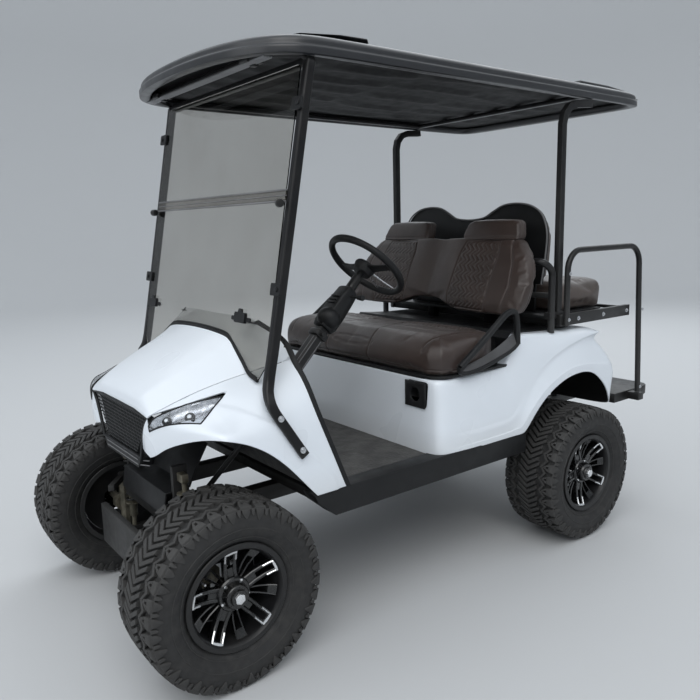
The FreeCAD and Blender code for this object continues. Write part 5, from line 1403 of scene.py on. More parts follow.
CUSHION_OUTLINE = [(430, 0), (428, 470), (450, 500), (545, 538), (575, 543), (700, 541), (755, 528),
                   (786, 480), (795, 300), (797, 0)]
POUCH = [(20 + 138 * math.cos(0.26 * k), -118 + 26 * math.sin(0.26 * k)) for k in range(24)]
SEAT_PANEL = [(455, 120), (455, 330), (470, 440), (520, 452), (570, 430), (585, 330), (588, 130), (560, 95),
              (480, 92)]


def make_front_cushion():
    outline = CUSHION_OUTLINE + [(x, -y) for x, y in reversed(CUSHION_OUTLINE) if y > 0.001]
    outline = outline[1:-1] if outline[0][1] == 0 else outline

    def lift(a, b, c):
        crown = 14 * max(0.0, 1 - ((a - 600) / 230) ** 2) * max(0.0, 1 - (abs(abs(b) - 270) / 330) ** 2)
        drop = eased(path_distance((a, b), outline, True), 26 + 42 * min(max((a - 580) / 130, 0), 1))
        return ra(a, b, 811 + c + (crown + 2 - drop) * c / 118)

    cushion = pad_block("front_seat_cushion", outline, lift, 118, 8, 0.0070)
    fill_out(cushion, 3.0, 0.012)

    def depth(co, normal):
        x, y, z = (co.x - REAR_AXLE) / MM, co.y / MM, co.z / MM
        total = 0.0
        if normal.z > 0.35:
            for s in (1, -1):
                panel = [(a, s * b) for a, b in SEAT_PANEL]
                total += quilt((x, y), panel, 3.2)
            total += groove(path_distance((x, abs(y)), [(440, 66), (600, 100), (700, 132), (797, 142)]), 3.0,
                            3.6)
            total += groove(path_distance((x, abs(y)), [(500, 488), (600, 470), (700, 462), (782, 440)]), 3.0,
                            3.6)
            total += groove(path_distance((x, abs(y)), [(640, 90), (650, 300), (640, 462)]), 3.0, 3.8)
        if normal.x > 0.25 and x > 700:
            if normal.z <= 0.35:
                total += groove(abs(abs(y) - 142), 3.0, 3.6)
            total += groove(path_distance((y, x - z), POUCH, True), 3.2, 3.4)
        if normal.z < 0.35:
            total += groove(abs(z - 832), 2.0, 3.0)
        return total

    carve(cushion, depth)
    as_leather(cushion, "leather", "front_seat", "seat_cushion")


def make_rear_pads():
    pad = both_halves([(0, 1112), (415, 1114), (428, 1140), (436, 1285), (428, 1330), (405, 1372),
                       (370, 1405), (330, 1423), (205, 1423),
                       (130, 1400), (60, 1368), (0, 1366)])

    def lift(a, b, c):
        face = 8.6 - (b - 1110) * 0.1086
        swell = 14 * max(0.0, 1 - (abs(abs(a) - 230) / 260) ** 2) * max(0.0,
                                                                        1 - ((b - 1260) / 190) ** 2) * (c / 50)
        return ra(face + 46 - c - swell, a, b)

    back = pad_block("rear_seat_pad", pad, lift, 50, 5, 0.0100)
    fill_out(back, 2.5, 0.008)

    def depth(co, normal):
        y, z = co.y / MM, co.z / MM
        if normal.x > -0.2:
            return 0.0
        frame_line = [(355, 1135), (372, 1285), (345, 1365), (300, 1392), (215, 1392), (150, 1365),
                      (90, 1335), (60, 1300), (60, 1135)]
        total = groove(path_distance((abs(y), z), frame_line, True), 3.0, 3.6)
        if 1140 < z < 1380:
            total += groove(abs(abs(y) - 205), 2.4, 3.4)
        return total

    carve(back, depth)
    as_leather(back, "rear_leather", BODY, "rear_seat_back_pad")
    plan = [(-14, 0), (-14, 455), (-40, 476), (-330, 476), (-368, 455), (-374, 0)]
    outline = plan[1:] + [(x, -y) for x, y in reversed(plan) if y > 0]
    outline = [p for p in outline if p != (-374, 0)]

    def cushion_lift(a, b, c):
        crown = 8 * max(0.0, 1 - (abs(abs(b) - 235) / 260) ** 2) * max(0.0,
                                                                       1 - ((a + 190) / 190) ** 2) * (c / 118)
        lean = (1 - c / 118) * 20 * max(0.0, min(1.0, (a + 300) / -60))
        return ra(a + lean, b, 976 + c + crown - eased(path_distance((a, b), outline, True), 30) * c / 118)

    cushion = pad_block("rear_seat_cushion", outline, cushion_lift, 118, 6, 0.0100)
    fill_out(cushion, 3.0, 0.010)

    def cushion_depth(co, normal):
        x, y, z = (co.x - REAR_AXLE) / MM, co.y / MM, co.z / MM
        total = 0.0
        if normal.z > 0.4:
            total += groove(abs(abs(y) - 60), 2.6, 3.6) + groove(path_distance((x, abs(y)),
                                                                               [(-50, 420), (-330, 420)]),
                                                                               2.6, 3.6)
            total += groove(path_distance((x, abs(y)), [(-70, 60), (-70, 420)]), 2.6, 3.6)
        if normal.z < 0.5:
            total += groove(abs(z - 1072), 2.4, 3.0)
        return total

    carve(cushion, cushion_depth)
    as_leather(cushion, "rear_leather", "rear_seat", "rear_cushion")


# Windshield, pillars and roof

def glass_point(y, z, lift=0.0):
    """A point on the windshield's rear face, moved forward by lift."""
    n = Vector((1, 0, 0.186)).normalized()
    return fa(-286 + 0.186 * (1451 - z), y, z) + n * lift * MM


def sheet_on_glass(bm, outline, lift, thick):
    face = outline_face(bm, [glass_point(y, z, lift) for y, z in outline])
    push_out(bm, face, Vector((1, 0, 0.186)).normalized() * thick * MM)


def soft_corner(outline, radius, steps=5):
    """A closed (y, z) outline with rounded corners."""
    line = []
    count = len(outline)
    for i in range(count):
        p, before, after = Vector(outline[i]), Vector(outline[i - 1]), Vector(outline[(i + 1) % count])
        one, two = (before - p), (after - p)
        r = min(radius, one.length * 0.45, two.length * 0.45)
        a, b = p + one.normalized() * r, p + two.normalized() * r
        for k in range(steps + 1):
            t = k / steps
            line.append(tuple(a * (1 - t) ** 2 + p * 2 * t * (1 - t) + b * t ** 2))
    return line


def make_glass():
    foot = [(208, 1012), (250, 993), (338, 940), (391, 906), (445, 893)]
    lower = [(-486, 1451), (-486, 945)] + [(-y, z) for y, z in reversed(foot)] + foot + [(486, 945),
                                                                                         (486, 1451)]
    bm = bmesh.new()
    sheet_on_glass(bm, lower, 0.5, 4)
    place(bm, "windshield_low_pane", "glass", replaces=("windshield_lower",))
    upper = soft_corner([(-486, 1474), (486, 1474), (486, 1849), (-486, 1849)], 14)
    bm = bmesh.new()
    sheet_on_glass(bm, upper, 0.5, 4)
    place(bm, "windshield_high_pane", "glass", replaces=("windshield_upper",))
    # the folding strip between the panes, darker than they are, with a line along each edge
    bm = bmesh.new()
    sheet_on_glass(bm, [(-488, 1448), (488, 1448), (488, 1477), (-488, 1477)], -0.5, 6)
    place(bm, "windshield_fold_strip", "strip", replaces=("windshield_hinge",))
    bm = bmesh.new()
    for z0, z1 in ((1443, 1448), (1461, 1463.5), (1477, 1482)):
        sheet_on_glass(bm, [(-489, z0), (489, z0), (489, z1), (-489, z1)], -2, 8.5)
    place(bm, "windshield_fold_lines", "edge_grey", replaces=("windshield_hinge",))
    # black edge trim at the foot of the lower pane
    line = flowing([(y, z, 0) for y, z in [(-445, 893), (-391, 906), (-338, 940), (-250, 993), (-208, 1010),
                                           (-110, 1017), (0, 1019),
                                           (110, 1017), (208, 1010), (250, 993), (338, 940), (391, 906),
                                           (445, 893)]], 8)
    for name, rise, size in (("outer", 2, 0.0058), ("inner", 11, 0.0036)):
        tube("windshield_foot_trim_" + name, [glass_point(p.x * (1 - rise / 900), p.y + rise,
                                                          3) for p in line], 0, size,
             material="trim", sides=3)
    bm = bmesh.new()
    for s in (1, -1):
        for z in (1732, 1180):
            sheet_on_glass(bm, soft_corner([(s * 472, z - 19), (s * 526, z - 19), (s * 526, z + 19),
                                            (s * 472, z + 19)], 7), 5.4, 6)
            n = Vector((1, 0, 0.186)).normalized()
            disc(bm, glass_point(s * 507, z, 12.5), n, 0.008, 0.006, 20, bevel=0.001)
    place(bm, "windshield_side_clips", "plastic", replaces=("windshield_clips",))
    # latches that hold the folded pane
    bm = bmesh.new()
    for y0, y1 in ((230, 381), (-492, -356)):
        middle = (y0 + y1) / 2
        sheet_on_glass(bm, soft_corner([(middle - 62, 1068), (middle + 62, 1068), (middle + 62, 1082),
                                        (middle - 62, 1082)], 6), 5, 5)
        sheet_on_glass(bm, soft_corner([(middle - 34, 1062), (middle + 34, 1062), (middle + 34, 1096),
                                        (middle - 34, 1096)], 8), 5, 11)
        sheet_on_glass(bm, soft_corner([(middle - 14, 1090), (middle + 14, 1090), (middle + 10, 1108),
                                        (middle - 10, 1108)], 5), 9, 6)
    place(bm, "windshield_latches", "plastic")


def front_post(s):
    """The middle line of a front pillar, from the roof to the foot of its leg."""
    line = [fa(-378, s * 503, 1858), fa(-357, s * 501, 1750), fa(-298, s * 499, 1440),
            fa(-242, s * 497, 1152), fa(-212, s * 496, 1000)]
    return line + [fa(-192, s * 497, 910), fa(-176, s * 515, 868), fa(-172, s * 545, 826),
                   fa(-208, s * 570, 752), fa(-258, s * 582, 668)]


def make_pillars():
    for node in ("rear_struts", "roof_rails"):
        eased_node(node, "tube", width=0.004, segments=3)
    bm = bmesh.new()
    for s in (1, -1):
        path = flowing(front_post(s), 8)
        sweep(bm, path, round_section(0.029, 0.031, 0.007), (0, 1, 0))
        for v in bm.verts:
            if v.co.z < 0.885 and v.co.y * s > 0:
                near = min(path, key=lambda p: (p - v.co).length)
                v.co.y = near.y + (v.co.y - near.y) * (1 - 0.5 * min(1, (0.885 - v.co.z) / 0.06))
        disc(bm, fa(-262, s * 486, 1440), (0.3, s, 0), 0.013, 0.022, 20, bevel=0.003)
    rounded_block(bm, fa(-395, -512, 1844), fa(-367, 512, 1872), 0.006)
    place(bm, "front_pillar_bars", "tube", replaces=("front_pillars",))
    tube("front_pillar_braces", [ra(1283, 503, 1815), ra(1292, 500, 1874), ra(1385, 430, 1876)], 0.03, 0.0085,
         mirror=True)
    bm = bmesh.new()
    for s in (1, -1):
        for at in ((-187, 565, 796), (-247, 588, 690)):
            bolt(bm, fa(at[0], s * at[1], at[2]), (0.1, s, 0.2), 0.0068)
    place(bm, "pillar_foot_bolts", "steel")
    bm = bmesh.new()
    for s in (1, -1):
        for at in ((30, 540, 966), (62, 540, 966)):
            bolt(bm, ra(at[0], s * at[1] - s * 4, at[2] + 2), (0, s, 0), 0.005)
        for z in (1160, 1580):
            bolt(bm, ra(46 - 15, s * 514, z), (-1, 0, 0), 0.005)
    place(bm, "strut_bolts", "steel")


ROOF_PLAN = [(-527, 0), (-527, 300), (-524, 470), (-500, 528), (-450, 547), (0, 548), (700, 548), (1200, 548),
             (1330, 536), (1395, 500),
             (1455, 430), (1495, 320), (1520, 180), (1527, 0)]


ROOF_SECTION = [(0.955, 1892), (0.957, 1871), (0.980, 1867), (1.0, 1871), (1.0, 1892), (0.9945, 1897),
                (0.9925, 1914), (0.978, 1926),
                (0.93, 1934), (0.82, 1939), (0.6, 1942), (0.3, 1943), (0.0, 1944)]


def make_roof():
    bm = bmesh.new()
    centre = 500.0
    rows = []
    # columns: share of the plan and height, from the rim's inner lip over the ledged edge to the crown
    for x, y in ROOF_PLAN:
        rows.append([ra((x - centre) * share + centre, y * share, z) for share, z in ROOF_SECTION])
    grid_skin(bm, rows, creases={3: 0.5, 4: 0.9, 5: 0.9, 6: 0.3})
    mirror_y(bm)
    bmesh.ops.remove_doubles(bm, verts=bm.verts[:], dist=0.0005)
    roof = place(bm, "roof_shell", "roof", replaces=("roof",))
    modifier(roof, "SUBSURF", levels=2, render_levels=2)
    settle(roof, 50)
    # two raised pads with stepped ends
    bm = bmesh.new()
    for outline in ([(1400, 1916), (1392, 1930), (1300, 1941), (1160, 1951), (1052, 1955), (1046, 1932)],
                    [(-90, 1932), (-96, 1950), (-300, 1949), (-440, 1940), (-448, 1926)]):
        face = outline_face(bm, [ra(x, -497, z) for x, z in outline])
        push_out(bm, face, (0, 0.994, 0))
        for v in bm.verts:
            share = min(max((v.co.x - REAR_AXLE - 1.25) / 0.15, 0), 1)
            v.co.y = max(min(v.co.y, 0.497 - 0.16 * share * share), -0.497 + 0.16 * share * share)
    pads = place(bm, "roof_pads", "roof", replaces=("roof",))
    soften(pads, 0.006, 3, 35)
    settle(pads, 40)
    # the rail and its brackets under the front lip
    bm = bmesh.new()
    for x in (1386, 1395, 1404, 1413):
        rounded_block(bm, ra(x - 2, -450, 1863), ra(x + 2, 450, 1871), 0.001)
    place(bm, "roof_front_rail", "rail")
    bm = bmesh.new()
    rounded_block(bm, ra(1382, -452, 1868), ra(1417, 452, 1878), 0.002)
    for s in (1, -1):
        y0, y1 = sorted((s * 320, s * 370))
        rounded_block(bm, ra(1362, y0, 1866), ra(1426, y1, 1884), 0.004)
        rounded_block(bm, ra(1376, y0 + 12, 1858), ra(1396, y1 - 12, 1870), 0.003)
    place(bm, "roof_rail_brackets", "tube")
    # underside with moulded ribs
    bm = bmesh.new()
    rows = []
    steps = 60
    for i in range(steps + 1):
        x = -500 + (1495 + 500) * i / steps
        row = []
        for j in range(41):
            y_limit = 522 if x < 1200 else 522 - 340 * ((x - 1200) / 300) ** 2
            y = -y_limit + 2 * y_limit * j / 40
            rib = 0
            for k in (-360, -180, 0, 180, 360):
                bend = k + 46 * math.sin((x - 60) / 210) * (1 if k > 0 else -1 if k < 0 else 0)
                rib = max(rib, min(1, max(0, (34 - abs(y - bend)) / 12)))
            rib *= min(1, max(0, abs(((x + 430) / 440) % 1 - 0.5) * 12 - 0.6))
            ripple = 9 * rib if -400 < x < 1280 else 0
            row.append(ra(x, y, 1893 + 7 - ripple))
        rows.append(row)
    grid_skin(bm, rows)
    under = place(bm, "roof_underside", "under", replaces=("roof",))
    modifier(under, "SOLIDIFY", thickness=0.003, offset=1.0)
    settle(under, 60)


# Tubes, rails and trim round the seats

def make_seat_hardware():
    arch = [ra(117, 535, 905), ra(117, 535, 1165), ra(172, 535, 1205), ra(172, -535, 1205),
            ra(117, -535, 1165), ra(117, -535, 905)]
    tube("seat_back_tube", arch, 0.045, 0.0148, replaces=("seat_back_brackets",))
    tube("seat_back_low_bar", [ra(117, 535, 1060), ra(117, -535, 1060)], 0.01, 0.012,
         replaces=("seat_back_brackets",))
    bm = bmesh.new()
    for s in (1, -1):
        rounded_block(bm, ra(120, s * 300 - 18, 1195), ra(196, s * 300 + 18, 1215), 0.003)
        rounded_block(bm, ra(120, s * 300 - 18, 1050), ra(262, s * 300 + 18, 1072), 0.003)
        rounded_block(bm, ra(96, s * 535 - 22, 962), ra(138, s * 535 + 10, 990), 0.003)
    place(bm, "seat_back_pegs", "tube", replaces=("seat_back_brackets",))
    grab = [ra(45, 560, 930), ra(45, 560, 1246), ra(-505, 560, 1250), ra(-548, 560, 545)]
    tube("grab_rail_tubes", grab, 0.085, 0.013, replaces=("grab_rails",), mirror=True)
    bm = bmesh.new()
    for s in (1, -1):
        for x, z in ((45, 955), (45, 1150)):
            bolt(bm, ra(x, s * 573, z), (0, s, 0), 0.0055)
        bolt(bm, ra(-536, s * 573, 950), (0, s, 0), 0.0055)
        bolt(bm, ra(-546, s * 573, 570), (0, s, 0), 0.0055)
        for x in (-440, -250, -60):
            bolt(bm, ra(x, s * 547.5, 950), (0, s, 0), 0.0065)
    place(bm, "rail_bolts", "steel")
    line = [ra(62 - (z - 1100) * 0.1086 + 8, y, z) for y, z in both_halves(shell_outline())]
    tube("rear_shell_piping", line, 0, 0.0038, material="edge_grey")
    # the black cover under and behind the front seat
    bm = bmesh.new()
    rows = []
    for x, z in ((-60, 908), (55, 909), (150, 911), (245, 917), (326, 924), (352, 900)):
        rows.append([ra(x, y, z + 4) for y in (-496, -300, 0, 300, 496)])
    grid_skin(bm, rows)
    bmesh.ops.solidify(bm, geom=bm.faces[:], thickness=0.003)
    place(bm, "seat_deck_cover", "plastic")


def shell_outline(steps=6):
    rows = [(444, 1100), (452, 1200), (454, 1288), (443, 1350), (410, 1406), (350, 1440), (272, 1451),
            (198, 1444), (140, 1418),
            (84, 1391), (0, 1382)]
    return [(p.x, p.y) for p in flowing([(y, z, 0) for y, z in rows], steps)][:-1]


def make_rear_shell():
    half = shell_outline()
    outline = both_halves(half)
    bm = bmesh.new()
    face = outline_face(bm, [ra(62 - (z - 1100) * 0.1086, y, z) for y, z in outline])
    bmesh.ops.inset_region(bm, faces=[face], thickness=0.03, depth=0.014, use_even_offset=True)
    bmesh.ops.inset_region(bm, faces=[face], thickness=0.05, depth=0.006, use_even_offset=True)
    bmesh.ops.inset_region(bm, faces=[face], thickness=0.04, depth=-0.004, use_even_offset=True)
    outwards(bm)
    shell = place(bm, "rear_seat_shell", "shell", replaces=("rear_seat_back_shell",))
    modifier(shell, "SOLIDIFY", thickness=0.010, offset=-1.0)
    soften(shell, 0.004, 3, 15)
    settle(shell, 50)
    bm = bmesh.new()
    rounded_block(bm, ra(37, -398, 975), ra(49, 398, 1118), 0.004)
    place(bm, "rear_seat_board", "shell", replaces=("rear_seat_back_shell",))


HIP_RAIL = [(697, 842), (620, 892), (536, 950), (462, 1003), (430, 1020), (400, 1023), (381, 1005),
            (372, 950), (370, 890)]
HIP_FOOT = [(697, 842), (690, 820), (640, 816), (571, 826), (500, 843), (440, 860), (398, 876), (372, 892)]


def make_hips():
    """An open loop beside the seat's end over a curved tray."""
    for side, s in (("left", 1), ("right", -1)):
        bm = bmesh.new()
        sweep(bm, flowing([ra(x, s * 563, z) for x, z in HIP_RAIL], 8), round_section(0.022, 0.024, 0.009),
              (0, 1, 0))
        sweep(bm, flowing([ra(x, s * 563, z) for x, z in HIP_FOOT], 8), round_section(0.022, 0.016, 0.006),
              (0, 1, 0))
        place(bm, "hip_loop_" + side, "plastic", replaces=("hip_restraints",))
        bm = bmesh.new()
        rows = []
        for (x, z), inner in zip(HIP_FOOT[1:], (838, 848, 862, 888, 915, 938, 944)):
            rows.append([ra(x, s * 571, z - 2), ra(x - 4, s * 567, z + (inner - z) * 0.25),
                         ra(x - 12, s * 559, z + (inner - z) * 0.7),
                         ra(x - 20, s * 551, inner)])
        grid_skin(bm, rows)
        tray = place(bm, "hip_tray_" + side, "hip_grey", replaces=("hip_restraints",))
        shell_of(tray, 3, 0.004)


# Steering

TILT = math.radians(46)
HUB = Vector((0.278, DRIVER_Y, 1.218))
DOWN = Vector((math.cos(TILT), 0, -math.sin(TILT)))


def column_frame(run=0.0):
    """A frame on the steering axis whose Z points up the column from a place run metres below the hub."""
    up = -DOWN
    side = Vector((0, 1, 0))
    front = side.cross(up)
    turn = Matrix((front, side, up)).transposed().to_4x4()
    return Matrix.Translation(HUB + DOWN * run) @ turn


def make_steering():
    bm = bmesh.new()
    major, minor = 96, 16
    for i in range(major):
        a = 2 * math.pi * i / major
        for j in range(minor):
            b = 2 * math.pi * j / minor
            grip = 0.0134 + 0.0008 * math.cos(a * 4)
            bm.verts.new(column_frame() @ Vector(((0.153 + grip * math.cos(b)) * math.cos(a),
                                                  (0.153 + grip * math.cos(b)) * math.sin(a),
                                                  grip * math.sin(b))))
    bm.verts.ensure_lookup_table()
    for i in range(major):
        for j in range(minor):
            a, b = i * minor + j, i * minor + (j + 1) % minor
            c, d = ((i + 1) % major) * minor + (j + 1) % minor, ((i + 1) % major) * minor + j
            bm.faces.new([bm.verts[k] for k in (a, b, c, d)])
    place(bm, "hand_wheel_rim", "grip", "hand_wheel", ("steering_wheel",), 60)
    frame_up = column_frame()
    bm = bmesh.new()
    for angle in (0, 180):
        rings = []
        for r, half, z, thick in ((0.028, 0.020, -0.012, 0.012), (0.075, 0.015, -0.010, 0.008),
                                  (0.125, 0.014, -0.004, 0.007), (0.150, 0.019, 0.0, 0.009)):
            ring = []
            for across, lift in ((-half, -thick / 2), (half, -thick / 2), (half, thick / 2),
                                 (-half, thick / 2)):
                ring.append(bm.verts.new(frame_up @ Matrix.Rotation(math.radians(angle + 90), 4,
                                                                    "Z") @ Vector((r, across, z + lift))))
            rings.append(ring)
        loft(bm, rings)
    for z0, r0, z1, r1 in ((-0.038, 0.034, -0.008, 0.044), (-0.008, 0.044, 0.002, 0.040)):
        disc(bm, frame_up @ Vector((0, 0, (z0 + z1) / 2)), -DOWN, r0, z1 - z0, 32, top=r1, bevel=0.002)
    disc(bm, HUB + DOWN * 0.070, -DOWN, 0.0125, 0.08, 20)
    spokes = place(bm, "hand_wheel_spokes", "grip", "hand_wheel", ("steering_wheel",), 40)
    soften(spokes, 0.0022, 3, 35)
    settle(spokes, 45)
    bm = bmesh.new()
    for angle in (250, 290):
        rings = []
        for r, half, z in ((0.036, 0.006, -0.010), (0.09, 0.005, -0.007), (0.148, 0.007, -0.001)):
            rings.append([bm.verts.new(frame_up @ Matrix.Rotation(math.radians(angle - 90), 4,
                                                                  "Z") @ Vector((r, across, z + lift)))
                          for across, lift in ((-half, -0.002), (half, -0.002), (half, 0.002), (-half, 0.002))])
        loft(bm, rings)
    place(bm, "hand_wheel_bright_spokes", "machined", "hand_wheel", ("steering_wheel",), 40)
    # column: square tube with pale strips for painted edge highlights, clamp, shroud, neck and stalk, drawn
    # along Z below the hub
    bm = bmesh.new()
    rounded_block(bm, (-0.021, -0.021, -0.786), (0.021, 0.021, -0.27), 0.006)
    disc(bm, (0, 0, -0.13), (0, 0, 1), 0.0195, 0.14, 28, bevel=0.002)
    rounded_block(bm, (-0.027, -0.028, -0.345), (0.027, 0.028, -0.318), 0.005)
    disc(bm, (0.006, 0.034, -0.332), (0, 1, 0), 0.009, 0.02, 16, bevel=0.003)
    bmesh.ops.transform(bm, matrix=column_frame(), verts=bm.verts[:])
    place(bm, "column_tube", "tube", replaces=("steering_column",))
    # pale strips on the front and side faces by the corners: painted highlights along the column's edges
    bm = bmesh.new()
    for y in (-0.0135, 0.0135):
        rounded_block(bm, (0.0195, y - 0.002, -0.775), (0.0222, y + 0.002, -0.35), 0.0008)
        rounded_block(bm, (y - 0.002, 0.0195, -0.775), (y + 0.002, 0.0222, -0.35), 0.0008)
    bmesh.ops.transform(bm, matrix=column_frame(), verts=bm.verts[:])
    place(bm, "column_edge_lines", "edge_grey")
    tube("column_shaft", [HUB + DOWN * 0.780, fa(-120, 138, 455), fa(-105, 45, 345)], 0.02, 0.0095,
         replaces=("steering_column",))
    bm = bmesh.new()
    rings = []
    for run, k in ((0.118, 0.80), (0.128, 0.95), (0.170, 1.04), (0.235, 1.12), (0.285, 1.08), (0.305, 0.9)):
        rings.append([bm.verts.new((b * k * MM * -1, a * k * MM, -run)) for a, b in
                      ((-32, -30), (0, -32), (32, -30), (37, -10), (36, 14), (22, 36), (0, 39), (-22, 36),
                       (-36, 14), (-37, -10))])
    loft(bm, rings)
    for z in (-0.175, -0.190, -0.205):
        rounded_block(bm, (0.030, -0.022, z - 0.003), (0.039, 0.022, z + 0.003), 0.001)
    bmesh.ops.transform(bm, matrix=column_frame(), verts=bm.verts[:])
    shroud = place(bm, "column_shroud", "plastic", replaces=("steering_column",))
    soften(shroud, 0.005, 3, 35)
    settle(shroud, 45)
    bm = bmesh.new()
    bmesh.ops.create_uvsphere(bm, u_segments=28, v_segments=16, radius=1.0,
                              matrix=Matrix.Translation((0.010, 0.012, -0.262)) @ Matrix.Diagonal((0.046,
                                                                                                   0.044,
                                                                                                   0.040, 1)))
    bmesh.ops.transform(bm, matrix=column_frame(), verts=bm.verts[:])
    place(bm, "column_cup", "plastic")
    bm = bmesh.new()
    here = column_frame(0.15)
    disc(bm, here @ Vector((0, 0.052, 0)), (here.to_3x3() @ Vector((0, 1, 0))), 0.0045, 0.06, 12)
    disc(bm, here @ Vector((0, 0.092, 0)), (here.to_3x3() @ Vector((0, 1, 0))), 0.008, 0.034, 16, top=0.011,
         bevel=0.003)
    place(bm, "column_stalk", "plastic")


# Suspension, springs and the parts that stay hidden

def coil(foot, head, radius, turns):
    foot, head = Vector(foot), Vector(head)
    axis = head - foot
    turn = turned(axis)
    line = []
    count = turns * 20
    for k in range(count + 1):
        t = k / count
        a = 2 * math.pi * turns * t
        line.append(foot + axis * t + (turn @ Vector((radius * math.cos(a), radius * math.sin(a), 0))))
    return line


def make_springs():
    lines = []
    for s in (1, -1):
        foot, head = fa(0, s * 262, 231), fa(0, s * 247, 565)
        run = head - foot
        lines.append(coil(foot + run * 0.30, foot + run * 0.84, 0.0225, 8))
    curve = bpy.data.curves.new("coils", "CURVE")
    curve.dimensions = "3D"
    curve.bevel_depth = 0.0042
    curve.bevel_resolution = 3
    curve.use_fill_caps = True
    for line in lines:
        spline = curve.splines.new("POLY")
        spline.points.add(len(line) - 1)
        for point, p in zip(spline.points, line):
            point.co = (*p, 1)
    temp = bpy.data.objects.new("coils", curve)
    bpy.context.scene.collection.objects.link(temp)
    mesh = bpy.data.meshes.new_from_object(temp.evaluated_get(bpy.context.evaluated_depsgraph_get()))
    bpy.data.objects.remove(temp)
    bm = bmesh.new()
    bm.from_mesh(mesh)
    place(bm, "strut_coils", "tube", replaces=("spring_struts",), angle=60)
    bm = bmesh.new()
    for s in (1, -1):
        foot, head = fa(0, s * 262, 231), fa(0, s * 247, 565)
        run = (head - foot).normalized()
        disc(bm, (foot + head) / 2, run, 0.009, (head - foot).length, 20)
        disc(bm, foot + run * 0.12, run, 0.015, 0.16, 24, bevel=0.002)
        for share in (0.29, 0.85):
            disc(bm, foot + (head - foot) * share, run, 0.027, 0.006, 28, bevel=0.001)
        rounded_block(bm, fa(-12, min(s * 217.5, s * 259), 550), fa(12, max(s * 217.5, s * 259), 580), 0.003)
    place(bm, "strut_dampers", "drum", replaces=("spring_struts",))


EASED = [("dash_panel", "plastic", "black_plastic", BODY, 0.004),
         ("front_bumper", "plastic", "black_plastic", BODY, 0.003),
         ("lower_valance", "plastic", "black_plastic", BODY, 0.002),
         ("sill_rockers", "plastic", "black_plastic", BODY, 0.003),
         ("floor_pan", "mat", "floor_mat", BODY, 0.002), ("rear_deck", "plastic", "black_plastic", BODY, 0.002),
         ("foot_platform", "tube", "black_metal", BODY, 0.002),
         ("rear_seat_frame", "tube", "black_metal", BODY, 0.002),
         ("seat_lid", "plastic", "black_plastic", "front_seat", 0.002),
         ("tail_lights", "red", "lamp_red", BODY, 0.002),
         ("charge_socket", "plastic", "black_plastic", BODY, 0.003),
         ("pedals", "trim", "black_metal", BODY, 0.003),
         ("frame", "frame", "frame_metal", BODY, 0.002),
         ("front_suspension", "frame", "frame_metal", BODY, 0.003),
         ("battery_pack", "case", "battery_case", BODY, 0.006),
         ("leaf_springs", "frame", "frame_metal", BODY, 0.002),
         ("rear_axle", "frame", "frame_metal", BODY, 0.003),
         ("drive_motor", "case", "frame_metal", BODY, 0.004),
         ("seat_frame", "tube", "black_metal", BODY, 0.001),
         ("steering_gear", "frame", "frame_metal", BODY, 0.002)]
KEPT = [("knuckle_left", "drum"), ("knuckle_right", "drum"), ("steering_rack", "frame")]


def make_rest():
    for node, key, slot, body, width in EASED:
        piece = eased_node(node, key, body, width)
        if node == "dash_panel":
            # its outer corners stay behind the cowl's skin
            for v in piece.data.vertices:
                v.co.y = max(-0.470, min(0.470, v.co.y))
    for node, key in KEPT:
        mesh = frame["nodes"][node].data
        mesh.materials.clear()
        mesh.materials.append(finish(key))


# Ground, light and camera

# The camera, solved from the photograph: azimuth, elevation and roll in radians, place in metres
CAMERA_TURN = (-2.2314, -0.1718, -0.0234)
CAMERA_AT = (1.9248, 2.2998, 1.3633)
CAMERA_LENS = 35.43
CAMERA_SHIFT = (-0.0086, -0.0049)
FLOOR_REACH, WALL_BEND, WALL_TOP = 11, 6, 12


